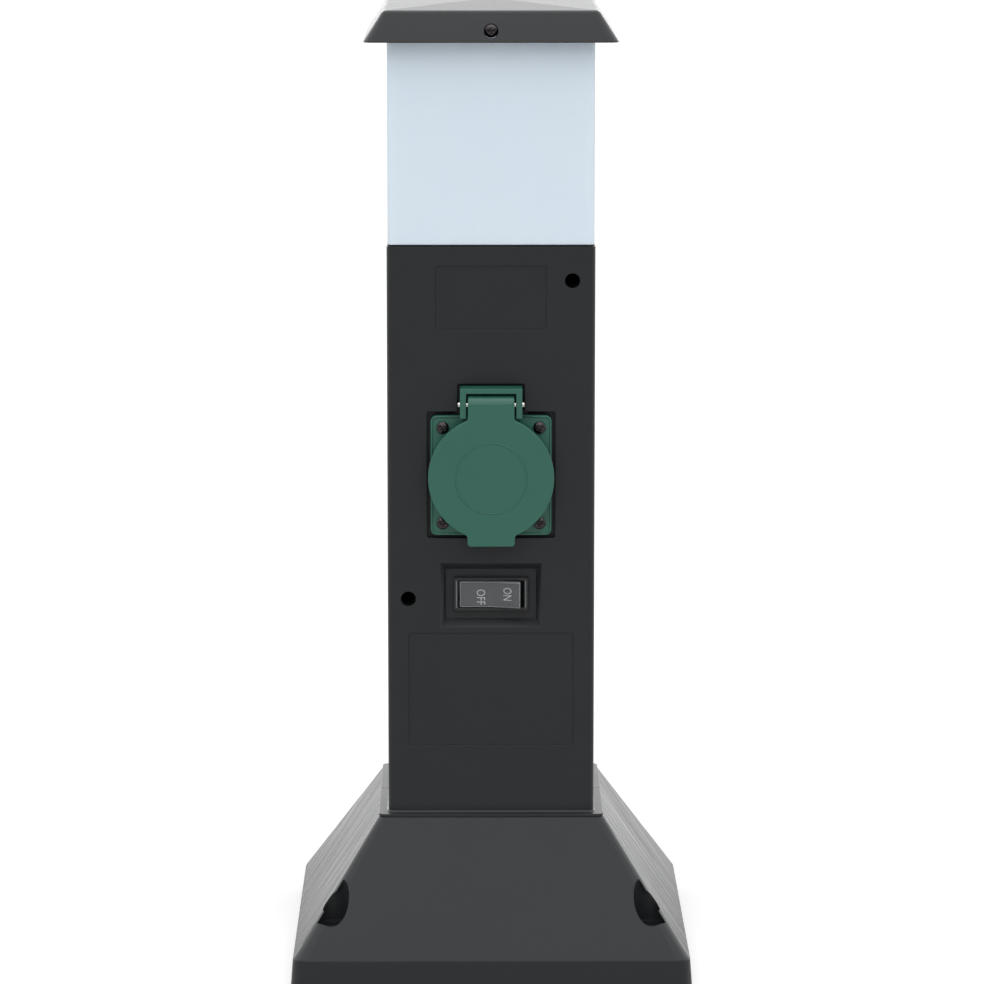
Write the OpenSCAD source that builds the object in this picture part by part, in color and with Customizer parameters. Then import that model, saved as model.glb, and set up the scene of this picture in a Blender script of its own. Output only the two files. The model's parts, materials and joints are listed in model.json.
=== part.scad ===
// Garden power column with a light, a lidded type F socket and a rocker switch
// Millimetres, +Z up, origin on the ground at the centre of the foot, front face towards -Y

/* [Foot] */
// Side of the square foot at the top of its skirt
base_w = 164.5; // [155:0.5:175]
// How far each side of the skirt flares out towards the ground
skirt_flare = 0.9; // [0:0.1:2]
// Height of the upright skirt round the foot
skirt_h = 12; // [9:1:18]
// Height of the sloping part of the foot
slope_h = 52.5; // [48:0.5:60]
// Wall of the foot
base_wall = 3; // [2.5:0.25:3.5]
// Distance between ground fixing holes, both ways
fix_pitch = 133; // [128:1:136]
// Bore of a ground fixing hole
fix_bore = 7; // [5:0.1:7.5]
// Bore of the well above a ground fixing hole
well_bore = 14.8; // [13.6:0.1:16]
// Height of a well's floor above the ground
well_floor = 24; // [20:0.5:27]
// Width of the cable slot in the rear of the skirt
slot_w = 11; // [9:0.5:14]
// Height of the cable slot in the rear of the skirt
slot_h = 8; // [6:0.5:8.5]

/* [Column] */
// Side of the square column
col_w = 86; // [84:0.5:92]
// Height of the column with its foot flange
col_h = 239.5; // [236:0.5:260]
// Wall of the column
col_wall = 2.6; // [2.2:0.1:3.2]
// Radius of the column's upright edges
col_r = 2.5; // [1.5:0.25:3.5]
// How far the foot flange stands out all round
foot_rim = 4; // [3:0.5:6]
// Thickness of the foot flange
foot_t = 1.25; // [1:0.25:3]
// Bore of the deep holes over the column screws
deep_bore = 6.2; // [5.8:0.1:7]
// Depth of the blank panels in the front
panel_depth = 0.5; // [0.3:0.1:0.8]
// Width of the upper blank panel
panel_up_w = 45.8; // [38:0.2:50]
// Height of the upper blank panel
panel_up_h = 26.6; // [20:0.2:28]
// Width of the lower blank panel
panel_low_w = 68.7; // [60:0.1:72]
// Height of the lower blank panel
panel_low_h = 47.9; // [40:0.1:50]

/* [Light] */
// How far the opal shade stands back from the column's face
shade_step = 0.4; // [0.2:0.1:1.5]
// Height of shade that shows between column and cap
shade_h = 84; // [80:1:100]
// Wall of the opal shade
shade_wall = 2.2; // [1.8:0.1:2.6]
// How far the cap stands out beyond the column all round
cap_overhang = 9; // [7.5:0.5:13]
// Height of the cap's sloping sides
cap_h = 12.7; // [12:0.1:15]
// Rise of the cap's roof above its sides
roof_h = 2.5; // [1:0.25:5]
// Wall of the cap
cap_wall = 2.4; // [2:0.1:2.8]
// Greatest diameter of the lamp's globe
globe_d = 45; // [40:1:50]

/* [Socket] */
// Side of the socket's square flange
flange_w = 50; // [49:0.5:51]
// Distance between flange screws, both ways
flange_pitch = 40; // [39:0.5:41]
// Diameter of the plug recess
recess_d = 39.8; // [39.4:0.1:40.2]
// Depth of the plug recess
recess_depth = 17.5; // [17:0.25:18.5]
// Distance between the two contact sleeves
pin_pitch = 19; // [18.5:0.25:19.5]
// Drop from the column's rim to the socket's centre
socket_drop = 95; // [92:0.5:98]
// Diameter of the lid's disc
lid_d = 52; // [51:0.25:52.5]
// Diameter of the lid's steel pin
lid_pin_d = 2.4; // [2:0.1:2.6]
// Width of the lid's arm and thumb tab
lid_arm_w = 19.2; // [17:0.2:19.6]

/* [Switch] */
// Drop from the column's rim to the switch's centre
switch_drop = 145.7; // [144:0.5:148]
// Length of the switch's frame
bezel_l = 31; // [30.5:0.25:33]
// Height of the switch's frame
bezel_w = 14; // [13.75:0.25:15]
// Half of the angle that the rocker turns through
rocker_tilt = 8; // [6:0.5:9]

/* [Wiring] */
// Outer diameter of an internal lead
lead_d = 2.8; // [2.2:0.1:3]
// Bore of the cable gland
gland_bore = 11; // [8:0.5:12]
// Height of the terminal block above the column's foot
block_rise = 34; // [30:1:42]

/* [Hidden] */
$fn = 48;
eps = 0.01;

// Clearances
fit = 0.3;
thread_gap = 0.05;
pin_gap = 0.07;

// Colours
anthracite = [0.2, 0.205, 0.21];
green = [0.22, 0.42, 0.36];
opal = [0.86, 0.91, 0.95];
black = [0.1, 0.1, 0.11];
steel = [0.72, 0.73, 0.75];
brass = [0.78, 0.62, 0.3];
cream = [0.87, 0.84, 0.74];
brown = [0.36, 0.2, 0.11];
blue = [0.12, 0.28, 0.62];
lime = [0.5, 0.68, 0.16];

// Levels
foot_z = skirt_h + slope_h;
rim_z = foot_z + col_h;
cap_z = rim_z + shade_h;
socket_z = rim_z - socket_drop;
switch_z = rim_z - switch_drop;

// Foot
base_top_w = col_w + 2 * foot_rim;
slope_in = (base_w - base_top_w) / 2;
ground_w = base_w + 2 * skirt_flare;
base_r = 6;
base_top_r = 3;
well_r = well_bore / 2;
well_wall = 2;
fix_tube_r = fix_bore / 2 + 1.6;
side_skin = 1;
foot_boss_r = 5;
foot_boss_h = 16;
foot_boss_at = col_w / 2 - col_wall - 3.9;
foot_screw_r = 2;
foot_screw_l = 14;

// Column
col_in = col_w - 2 * col_wall;
taper = 0.7;
deep_floor = 4;
screw_tube_r = deep_bore / 2 + 1.6;
col_screw_r = 1.75;
col_boss_r = 4.2;
col_screw_l = 18;
col_screw_at = [[33.5, rim_z - 14.2], [-34.4, rim_z - 147.3]];
panel_up_z = rim_z - 8 - panel_up_h / 2;
panel_low_z = rim_z - 161.8 - panel_low_h / 2;

// Shade and its neck inside the column
shade_w = col_w - 2 * shade_step;
cap_w = col_w + 2 * cap_overhang;
seal_t = 0.6;
neck_h = 8;
neck_w = col_in - 2 * fit;
shade_r = 2;
shade_up = 8.5;
cap_screw_z = cap_z + 4.5;
cap_screw_r = 1.45;
cap_head_r = 2.7;
cap_head_h = 1.9;
cap_slope = 0.52;
cap_r = 4;
cap_edge_r = 3;
cap_screw_face = cap_w / 2 - (cap_screw_z - cap_z) * cap_slope;
cap_head_seat = cap_screw_face - cap_head_h - 0.4;
shade_boss_l = 4;
cap_screw_l = cap_head_seat - shade_w / 2 + shade_wall + shade_boss_l - 2;

// Lampholder and lamp
bracket_z = rim_z - 28;
bracket_t = 1.5;
bracket_w = col_in - 2.8;
bracket_d = 36;
bracket_screw_at = [col_in / 2 - 4.9, 10];
ledge_h = 10;
holder_z = bracket_z + bracket_t;
holder_r = 19.5;
holder_floor = 12;
holder_h = 40;
holder_bore_r = 15.2;
holder_ear_x = 23;
lamp_cap_r = 13.1;
lamp_z = holder_z + holder_floor + 4.3;
lamp_cap_h = 22;
housing_h = 19;
globe_r = globe_d / 2;

// Socket, in its own frame: x right, y up, z out of the column's face
pocket_depth = 3;
pocket_gap = 1.5;
pad_t = 2.6;
gasket_t = 0.8;
flange_back = gasket_t - pocket_depth;
flange_face = 1;
flange_r = 2.5;
collar_r = 23;
collar_face = flange_face + 5;
recess_r = recess_d / 2;
recess_floor = collar_face - recess_depth;
cup_r = 21.6;
cup_back = recess_floor - 2.5;
hole_r = 23.3;
hinge_y = 30.2;
hinge_z = 5.6;
frame_w = 25.7;
frame_wall = 2.6;
frame_top = 37.2;
frame_low = 24.6;
frame_face = 8;
insert_r = 21.4;
insert_back = cup_back - 19;
shutter_cavity = 2.1;
shutter_t = 1.5;
shutter_turn = 40;
pillar_r = 3.2;
sleeve_r = 3.1;
sleeve_back = insert_back + 3;
box_w = 7;
box_h = 9;
box_d = 8;
strap_w = 6;
strap_t = 0.8;
earth_y = -12;
wire_r = lead_d / 2 + 0.2;
flange_screw_r = 1.45;
flange_head_r = 2.6;

// Lid
lid_r = lid_d / 2;
lid_back = collar_face + 1;
lid_face = lid_back + 2.5;
roll_r = lid_face - hinge_z;
lid_skirt_out = lid_r - 0.4;
lid_skirt_in = lid_skirt_out - 1.4;
lid_skirt_low = 3.2;
tab_y = -28.6;
tab_w = lid_arm_w + 0.4;
tab_r = 1.5;
fillet_r = 1.5;
fillet_steps = 5;
ring_r = 15;
ring_w = 0.5;
ring_h = 0.3;
spring_wire = 0.7;
spring_cavity_r = 3.3;
spring_cavity_w = 9.2;

// Switch, in its own frame: x right, y up, z out of the column's face
switch_depth = 4;
switch_floor_t = 2.2;
switch_mouth = [42, 27.1];
switch_floor = [37.5, 20.9];
bezel_h = 2.2;
opening_l = bezel_l - 3.8;
opening_w = bezel_w - 2.6;
case_l = bezel_l - 2.2;
case_w = bezel_w - 1.1;
case_back = -18.5;
case_floor = -17;
rocker_z = -5;
boot_t = 0.4;
rocker_l = opening_l - 2.8;
rocker_w = opening_w - 2 * (boot_t + fit);
rocker_mid = -2.2;
rocker_end = rocker_mid + rocker_l / 2 * tan(rocker_tilt);
trunnion_r = 1.2;
stem_r = 2.2;
plunger_r = 1.45;
plunger_tip = -13.4;
blade_z = -14.4;
blade_t = 0.8;
blade_l = 17;
blade_w = 4;
blade_pivot_r = 0.7;
blade_ratio = 0.6;
tab_x = -8.5;
spade_end = -27;
crimp_end = -33;

// Terminal block, on the rear wall
block_z = foot_z + block_rise;
block_w = 38;
block_h = 22;
block_d = 14;
block_y = col_in / 2 - 3.4;
port_y = block_y - 7;
pole_pitch = 12;
port_step = 3;
block_top = block_z + block_h / 2;
post_x = pole_pitch / 2;

// Gland, in the foot's top plate
gland_y = 12;
gland_thread_r = 9.9;
gland_low = foot_z - base_wall;
gland_hex_h = 5;
gland_tail = 8.5;
gland_seal_t = 2;

// Leads: straight length in a port, and drops below the clamps where they leave the wall and swing forward
lead_in = 3;
leave_drop = 60;
swing_drop = 38;
reach_drop = 22;
wire_x = 6;
lead_sides = 8;
spring_sides = 6;
coil_steps = 8;

// Plane shapes
module rounded(w, d, r) {
    square([w - 2 * r, d], center = true);
    square([w, d - 2 * r], center = true);
    for (x = [-1, 1], y = [-1, 1])
        translate([x * (w / 2 - r), y * (d / 2 - r)]) circle(r = r, $fn = 32);
}

module plate(w, d, r, z, h) {
    translate([0, 0, z]) linear_extrude(h) rounded(w, d, r);
}

module round_frustum(w_low, r_low, w_top, r_top, z, h) {
    hull() {
        translate([0, 0, z]) linear_extrude(eps) rounded(w_low, w_low, r_low);
        translate([0, 0, z + h - eps]) linear_extrude(eps) rounded(w_top, w_top, r_top);
    }
}

// Four-sided tapering pocket with flat faces, wide end at the top
module taper_block(low, top, z, h) {
    intersection() {
        translate([0, top[1], 0]) rotate([90, 0, 0]) linear_extrude(2 * top[1])
            polygon([[-low[0] / 2, z], [low[0] / 2, z], [top[0] / 2, z + h], [-top[0] / 2, z + h]]);
        translate([-top[0], 0, 0]) rotate([90, 0, 90]) linear_extrude(2 * top[0])
            polygon([[-low[1] / 2, z], [low[1] / 2, z], [top[1] / 2, z + h], [-top[1] / 2, z + h]]);
    }
}

module corners(x, y) {
    for (i = [-1, 1], j = [-1, 1]) translate([i * x, j * y, 0]) children();
}

module disc(r, z, h) {
    translate([0, 0, z]) cylinder(r = r, h = h);
}

module box(x, y, z) {
    translate([x[0], y[0], z[0]]) cube([x[1] - x[0], y[1] - y[0], z[1] - z[0]]);
}

// Screw with its head's seat at z 0 and its shank downwards
module pan_screw(head_r, head_h, shank_r, len) {
    slot = head_r * 0.3;
    difference() {
        union() {
            cylinder(r = head_r, h = head_h * 0.6);
            disc(head_r * 0.8, 0, head_h);
            disc(shank_r, -len, len + eps);
        }
        for (a = [0, 90]) rotate([0, 0, a])
            box([-head_r * 0.6, head_r * 0.6], [-slot / 2, slot / 2], [head_h * 0.4, head_h + 1]);
    }
}

module on_front(x, z) {
    translate([x, -col_w / 2, z]) rotate([90, 0, 0]) children();
}

// Smooth path through points, with a ring about every step, and a tube along it
function unit(v) = v / norm(v);

function pull(p, i) = let (last = len(p) - 1, a = p[max(i - 1, 0)], c = p[min(i + 1, last)])
    unit(c - a) * min(norm(i > 0 ? p[i] - a : c - a), norm(i < last ? c - p[i] : c - a));

function between(p, i, t) = let (v = 1 - t)
    p[i] * v * v * (1 + 2 * t) + pull(p, i) * v * v * t
    + p[i + 1] * t * t * (3 - 2 * t) - pull(p, i + 1) * t * t * v;

function smooth_path(p, step) = let (last = len(p) - 1) concat(
    [for (i = [0:last - 1]) let (n = max(1, round(norm(p[i + 1] - p[i]) / step)))
        for (j = [0:n - 1]) between(p, i, j / n)],
    [p[last]]);

function heading(p, i) = let (last = len(p) - 1)
    unit(p[min(i + 1, last)] - p[max(i - 1, 0)]);

function ring_points(p, i, r, sides, ref) = let (
    t = i == 0 ? unit(p[1] - p[0]) : i == len(p) - 1 ? unit(p[i] - p[i - 1]) : heading(p, i),
    u = unit(ref - (ref * t) * t),
    v = cross(t, u))
    [for (k = [0:sides - 1]) p[i] + r * (cos(360 * k / sides) * u + sin(360 * k / sides) * v)];

module tube(p, r, sides, ref) {
    rings = len(p);
    points = [for (i = [0:rings - 1]) each ring_points(p, i, r, sides, ref)];
    low_cap = [for (k = [1:sides - 2]) [0, k, k + 1]];
    top = (rings - 1) * sides;
    top_cap = [for (k = [1:sides - 2]) [top, top + k + 1, top + k]];
    walls = [for (i = [0:rings - 2], k = [0:sides - 1]) let (
        a = i * sides + k, b = i * sides + (k + 1) % sides)
        each [[a, a + sides, b + sides], [a, b + sides, b]]];
    polyhedron(points = points, faces = concat(low_cap, walls, top_cap));
}

// Coil round the x axis, wound outwards from x0 with the given pitch and turns
function coil_path(r, x0, pitch, turns, start) = [for (i = [0:turns * coil_steps])
    let (a = start + i * 360 / coil_steps)
    [x0 + pitch * i / coil_steps, r * cos(a), r * sin(a)]];

// Least gap between two points of a path that are more than half a turn apart
function least_gap(p, wire) = min([for (i = [0:len(p) - 1], j = [i + coil_steps / 2 + 1:1:len(p) - 1])
    norm(p[i] - p[j])]) - wire;

// Foot

module base_outer() {
    hull() {
        plate(ground_w, ground_w, base_r + skirt_flare, 0, eps);
        plate(base_w, base_w, base_r, skirt_h - eps, eps);
        plate(base_top_w, base_top_w, base_top_r, foot_z - eps, eps);
    }
}

module base_inner() {
    steep = sqrt(slope_in * slope_in + slope_h * slope_h) / slope_h;
    low_w = base_w - 2 * base_wall * steep;
    plate(base_w - 2 * base_wall, base_w - 2 * base_wall, base_r - base_wall + 1, -1, skirt_h + 1);
    round_frustum(low_w, base_r - base_wall + 1, base_top_w - 2 * base_wall * steep
        + 2 * base_wall * slope_in / slope_h, 1, skirt_h - 0.5, slope_h - base_wall + 0.5);
}

// Room inside a well: it opens through the front and rear slopes and leaves the side slopes whole
module well_room() {
    half_low = base_w / 2 - side_skin;
    half_top = base_top_w / 2 - side_skin;
    intersection() {
        disc(well_r, well_floor, foot_z);
        translate([-fix_pitch / 2, base_w, 0]) rotate([90, 0, 0]) linear_extrude(2 * base_w)
            polygon([[0, 0], [half_low, 0], [half_low, skirt_h], [half_top, foot_z], [0, foot_z]]);
    }
}

module base_shell() {
    color(anthracite)
    difference() {
        union() {
            difference() {
                base_outer();
                base_inner();
            }
            intersection() {
                base_outer();
                corners(fix_pitch / 2, fix_pitch / 2) disc(well_r + well_wall, 0, foot_z);
            }
        }
        for (i = [0, 1], j = [0, 1]) mirror([i, 0, 0]) mirror([0, j, 0])
            translate([fix_pitch / 2, fix_pitch / 2, 0]) {
                well_room();
                disc(fix_bore / 2, -1, foot_z);
                difference() {
                    disc(well_r, -1, well_floor - base_wall + 1);
                    disc(fix_tube_r, -2, foot_z);
                }
            }
        corners(foot_boss_at, foot_boss_at) disc(foot_screw_r + 0.2, skirt_h, foot_z);
        translate([0, gland_y, 0]) disc(gland_thread_r + 0.2, skirt_h, foot_z);
        box([-slot_w / 2, slot_w / 2], [base_w / 2 - 2 * base_wall, base_w], [-1, slot_h]);
    }
}

module foot_screws() {
    color(steel)
    corners(foot_boss_at, foot_boss_at) translate([0, 0, foot_z - base_wall])
        mirror([0, 0, 1]) pan_screw(3.6, 2.6, foot_screw_r, foot_screw_l);
}

// Cable gland

module gland_body() {
    color(black)
    translate([0, gland_y, 0]) difference() {
        union() {
            disc(gland_thread_r, gland_low - eps, base_wall + 8);
            translate([0, 0, gland_low - gland_hex_h]) cylinder(r = 13.5, h = gland_hex_h, $fn = 6);
            disc(9.5, gland_low - gland_hex_h - gland_tail, gland_tail + eps);
        }
        disc(gland_bore / 2, 0, rim_z);
    }
}

module gland_locknut() {
    color(black)
    translate([0, gland_y, 0]) difference() {
        translate([0, 0, foot_z]) cylinder(r = 13.5, h = 5, $fn = 6);
        disc(gland_thread_r + thread_gap, 0, rim_z);
    }
}

module gland_dome_nut() {
    nut_top = gland_low - gland_hex_h - 0.6;
    tail_z = gland_low - gland_hex_h - gland_tail;
    color(black)
    translate([0, gland_y, 0]) difference() {
        union() {
            translate([0, 0, tail_z - gland_seal_t])
                cylinder(r = 13, h = nut_top - tail_z + gland_seal_t, $fn = 6);
            translate([0, 0, tail_z - gland_seal_t - 4]) cylinder(r1 = 8.5, r2 = 10.8, h = 4 + eps);
        }
        disc(9.5 + thread_gap, tail_z - gland_seal_t, rim_z);
        disc(gland_bore / 2 + 0.5, 0, rim_z);
    }
}

module gland_seal() {
    tail_z = gland_low - gland_hex_h - gland_tail;
    color(steel * 0.6)
    translate([0, gland_y, 0]) difference() {
        disc(9.3, tail_z - gland_seal_t, gland_seal_t);
        disc(gland_bore / 2, 0, rim_z);
    }
}

// Column

module column_tube() {
    difference() {
        union() {
            plate(col_w, col_w, col_r, foot_z, col_h);
            plate(base_top_w, base_top_w, base_top_r, foot_z, foot_t);
            taper_foot();
        }
        plate(col_in, col_in, 1, foot_z - 1, col_h + 2);
    }
}

// Slanted joint between the flange and the column
module taper_foot() {
    run = col_w / 2 - col_r;
    low = foot_z + foot_t;
    corners(run, run) translate([0, 0, low]) cylinder(r1 = col_r + taper, r2 = col_r, h = taper);
    for (a = [0, 90]) rotate([0, 0, a]) translate([0, run, 0]) rotate([90, 0, 0]) linear_extrude(2 * run)
        polygon([[-col_w / 2 - taper, low], [col_w / 2 + taper, low],
            [col_w / 2, low + taper], [-col_w / 2, low + taper]]);
}

module front_half() {
    box([-base_w, base_w], [-base_w, 0], [0, cap_z]);
}

module rear_half() {
    box([-base_w, base_w], [0, base_w], [0, cap_z]);
}

module foot_bosses(side) {
    for (x = [-1, 1]) translate([x * foot_boss_at, side * foot_boss_at, 0])
        disc(foot_boss_r, foot_z, foot_boss_h);
}

module foot_pilots(side) {
    for (x = [-1, 1]) translate([x * foot_boss_at, side * foot_boss_at, 0])
        disc(foot_screw_r + thread_gap, foot_z - 1, foot_boss_h - 1);
}

module socket_pocket(grow, z, h) {
    side = flange_w + 2 * (pocket_gap + grow);
    plate(side, side, 1, z, h);
    box([-frame_w / 2 - 1 - grow, frame_w / 2 + 1 + grow], [0, frame_top + 0.8 + grow], [z, z + h]);
}

module column_front() {
    color(anthracite)
    difference() {
        union() {
            intersection() {
                column_tube();
                front_half();
            }
            intersection() {
                foot_bosses(-1);
                plate(col_w, col_w, col_r, foot_z, col_h);
            }
            on_front(0, socket_z) {
                socket_pocket(2, -pocket_depth - pad_t, pocket_depth + pad_t - 1);
                corners(flange_pitch / 2, flange_pitch / 2) disc(3.4, -14, 10);
            }
            on_front(0, switch_z)
                plate(switch_mouth[0] + 4, switch_mouth[1] + 4, 1, -switch_depth - switch_floor_t, 5);
            for (p = col_screw_at) on_front(p[0], p[1]) disc(screw_tube_r, -col_w / 2, col_w / 2 - 1);
        }
        foot_pilots(-1);
        on_front(0, panel_up_z) plate(panel_up_w, panel_up_h, 1, -panel_depth, 5);
        on_front(0, panel_low_z) plate(panel_low_w, panel_low_h, 1, -panel_depth, 5);
        on_front(0, socket_z) {
            socket_pocket(0, -pocket_depth, 10);
            disc(hole_r, -30, 40);
            corners(flange_pitch / 2, flange_pitch / 2) disc(flange_screw_r + thread_gap, -13, 20);
        }
        on_front(0, switch_z) {
            taper_block(switch_floor, switch_mouth, -switch_depth, switch_depth + eps);
            plate(case_l + 0.2, case_w + 0.2, 0.5, -20, 30);
        }
        for (p = col_screw_at) on_front(p[0], p[1]) {
            disc(deep_bore / 2, deep_floor - col_w / 2, col_w);
            disc(col_screw_r + 0.15, -col_w / 2 - 1, col_w);
        }
    }
}

module column_rear() {
    ledge_x = bracket_screw_at[0];
    color(anthracite)
    difference() {
        union() {
            intersection() {
                column_tube();
                rear_half();
            }
            intersection() {
                foot_bosses(1);
                plate(col_w, col_w, col_r, foot_z, col_h);
            }
            for (p = col_screw_at) translate([p[0], col_in / 2 + 1, p[1]]) rotate([90, 0, 0])
                cylinder(r = col_boss_r, h = col_in / 2 + 1);
            for (x = [-1, 1]) box([x * ledge_x - 4.5, x * ledge_x + 4.5] + (x > 0 ? [0, 1] : [-1, 0]),
                [4, 16], [bracket_z - ledge_h, bracket_z]);
            for (x = [-1, 1]) translate([x * post_x, col_in / 2 + 1, block_z]) rotate([90, 0, 0])
                cylinder(r = 4, h = col_in / 2 + 1 - block_y);
        }
        foot_pilots(1);
        for (p = col_screw_at) translate([p[0], col_screw_l - 2, p[1]]) rotate([90, 0, 0])
            cylinder(r = col_screw_r + thread_gap, h = col_in);
        for (x = [-1, 1]) translate([x * ledge_x, bracket_screw_at[1], 0])
            disc(1.5 + thread_gap, bracket_z - ledge_h + 1, ledge_h);
        for (x = [-1, 1]) translate([x * post_x, 0, block_z]) rotate([-90, 0, 0])
            disc(1.5 + thread_gap, block_y - 1, 4);
    }
}

module column_screws() {
    color(steel)
    for (p = col_screw_at) on_front(p[0], p[1]) translate([0, 0, deep_floor - col_w / 2])
        pan_screw(2.9, 2.4, col_screw_r, col_screw_l);
}

// Light

module shade_seal() {
    color(black)
    difference() {
        plate(shade_w - 0.4, shade_w - 0.4, shade_r, rim_z, seal_t);
        plate(neck_w + 0.2, neck_w + 0.2, 1, rim_z - 1, seal_t + 2);
    }
}

module opal_shade() {
    low = rim_z + seal_t;
    top = cap_z + shade_up;
    inner = shade_w - 2 * shade_wall;
    neck_in = neck_w - 2 * shade_wall;
    color(opal)
    difference() {
        union() {
            plate(shade_w, shade_w, shade_r, low, top - low);
            plate(neck_w, neck_w, 1, rim_z - neck_h, neck_h + seal_t + eps);
        }
        difference() {
            plate(inner, inner, 1, low + shade_wall, top);
            for (s = [-1, 1]) translate([0, s * inner / 2, cap_screw_z]) rotate([s * 90, 0, 0])
                disc(3.6, -1, shade_boss_l + 1);
        }
        plate(neck_in, neck_in, 1, rim_z - neck_h - 1, neck_h + shade_wall + 2);
        translate([0, base_w / 2, cap_screw_z]) rotate([90, 0, 0])
            cylinder(r = cap_screw_r + thread_gap, h = base_w);
    }
}

module cap_solid(grow) {
    top_w = cap_w - 2 * cap_h * cap_slope;
    hull() {
        plate(cap_w - 2 * grow, cap_w - 2 * grow, cap_r, cap_z - (grow > 0 ? 1 : 0), 0.4);
        corners(top_w / 2 - cap_edge_r - grow, top_w / 2 - cap_edge_r - grow)
            translate([0, 0, cap_z + cap_h - cap_edge_r - grow]) sphere(r = cap_edge_r, $fn = 24);
        translate([0, 0, cap_z + cap_h - grow]) cylinder(r = 1, h = roof_h);
    }
}

module cap() {
    seat = cap_z + shade_up;
    color(anthracite)
    difference() {
        union() {
            difference() {
                cap_solid(0);
                cap_solid(cap_wall);
            }
            intersection() {
                cap_solid(0);
                union() {
                    difference() {
                        plate(shade_w + 1, shade_w + 1, 2, seat, cap_h);
                        plate(shade_w - 5, shade_w - 5, 1, seat - 1, cap_h + 2);
                    }
                    for (s = [-1, 1]) translate([0, s * (shade_w / 2 + fit), cap_screw_z])
                        rotate([-s * 90, 0, 0]) disc(cap_head_r + 1.3, 0, 20);
                }
            }
        }
        for (s = [-1, 1]) translate([0, s * cap_screw_face, cap_screw_z]) rotate([-s * 90, 0, 0]) {
            disc(cap_head_r + 0.2, -cap_head_h - 0.4, 10);
            disc(cap_screw_r + 0.3, -12, 20);
        }
    }
}

module cap_screws() {
    color(steel * 0.35)
    for (s = [-1, 1]) translate([0, s * cap_head_seat, cap_screw_z]) rotate([-s * 90, 0, 0])
        pan_screw(cap_head_r, cap_head_h, cap_screw_r, cap_screw_l);
}

module lamp_bracket() {
    color(steel)
    difference() {
        plate(bracket_w, bracket_d, 3, bracket_z, bracket_t);
        disc(10, 0, cap_z);
        for (x = [-1, 1]) {
            translate([x * bracket_screw_at[0], bracket_screw_at[1], 0]) disc(1.8, 0, cap_z);
            translate([x * holder_ear_x, 0, 0]) disc(1.5 + thread_gap, 0, cap_z);
        }
    }
}

module bracket_screws() {
    color(steel)
    for (x = [-1, 1]) translate([x * bracket_screw_at[0], bracket_screw_at[1], holder_z])
        pan_screw(2.9, 2.2, 1.5, ledge_h - 1);
}

module lampholder_body() {
    color(cream)
    difference() {
        union() {
            disc(holder_r, holder_z, holder_h);
            box([-holder_ear_x, holder_ear_x], [-4.5, 4.5], [holder_z, holder_z + 4]);
            for (x = [-1, 1]) translate([x * holder_ear_x, 0, 0]) disc(4.5, holder_z, 4);
        }
        disc(holder_bore_r, holder_z + holder_floor, holder_h);
        for (x = [-1, 1]) {
            translate([x * holder_ear_x, 0, 0]) disc(1.7, 0, cap_z);
            translate([x * wire_x, 0, 0]) disc(wire_r, holder_z - 1, lead_in + 5);
        }
    }
}

module lampholder_shell() {
    color(brass)
    difference() {
        disc(holder_bore_r - 0.1, holder_z + holder_floor, 24);
        disc(lamp_cap_r + 0.9, holder_z, holder_h);
    }
}

module lampholder_contact() {
    color(brass)
    union() {
        disc(5.5, holder_z + holder_floor, 1);
        disc(2.4, holder_z + holder_floor, 3.9);
    }
}

module lampholder_screws() {
    color(steel)
    for (x = [-1, 1]) translate([x * holder_ear_x, 0, holder_z + 4]) pan_screw(2.9, 2.2, 1.5, 7);
}

module lamp_base() {
    ridges = 5;
    pitch = 3.6;
    low = 4.2;
    profile = concat([[0, 0], [4.6, 0], [5, 1], [lamp_cap_r - 1, low - 0.6]],
        [for (i = [0:ridges - 1]) each [[lamp_cap_r - 0.7, low + i * pitch],
            [lamp_cap_r, low + (i + 0.5) * pitch]]],
        [[lamp_cap_r - 0.4, lamp_cap_h], [0, lamp_cap_h]]);
    color(steel)
    translate([0, 0, lamp_z]) rotate_extrude() polygon(profile);
}

module lamp_housing() {
    z = lamp_z + lamp_cap_h;
    color("white")
    rotate_extrude() polygon([[0, z], [lamp_cap_r + 0.6, z], [lamp_cap_r + 1.4, z + 2],
        [globe_r - 1.4, z + housing_h - 3], [globe_r - 1, z + housing_h], [0, z + housing_h]]);
}

module lamp_globe() {
    seat_r = globe_r - 1.6;
    drop = sqrt(globe_r * globe_r - seat_r * seat_r);
    seat = lamp_z + lamp_cap_h + housing_h;
    color(opal)
    intersection() {
        translate([0, 0, seat + drop]) sphere(r = globe_r);
        disc(globe_r + 1, seat, 3 * globe_r);
    }
}

// Socket

module socket_gasket() {
    color(black)
    on_front(0, socket_z) difference() {
        union() {
            plate(flange_w, flange_w, flange_r, -pocket_depth, gasket_t);
            box([-frame_w / 2, frame_w / 2], [0, frame_top], [-pocket_depth, flange_back]);
        }
        disc(hole_r, -10, 20);
        corners(flange_pitch / 2, flange_pitch / 2) disc(1.8, -10, 20);
    }
}

module hinge_frame() {
    inner = frame_w / 2 - frame_wall;
    box([-frame_w / 2, frame_w / 2], [frame_low - 1, frame_top], [flange_back, flange_face]);
    box([-frame_w / 2, frame_w / 2], [hinge_y + roll_r + 0.9, frame_top], [0, frame_face]);
    for (x = [-1, 1]) box(x > 0 ? [inner, frame_w / 2] : [-frame_w / 2, -inner],
        [frame_low, frame_top], [0, frame_face]);
}

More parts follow.
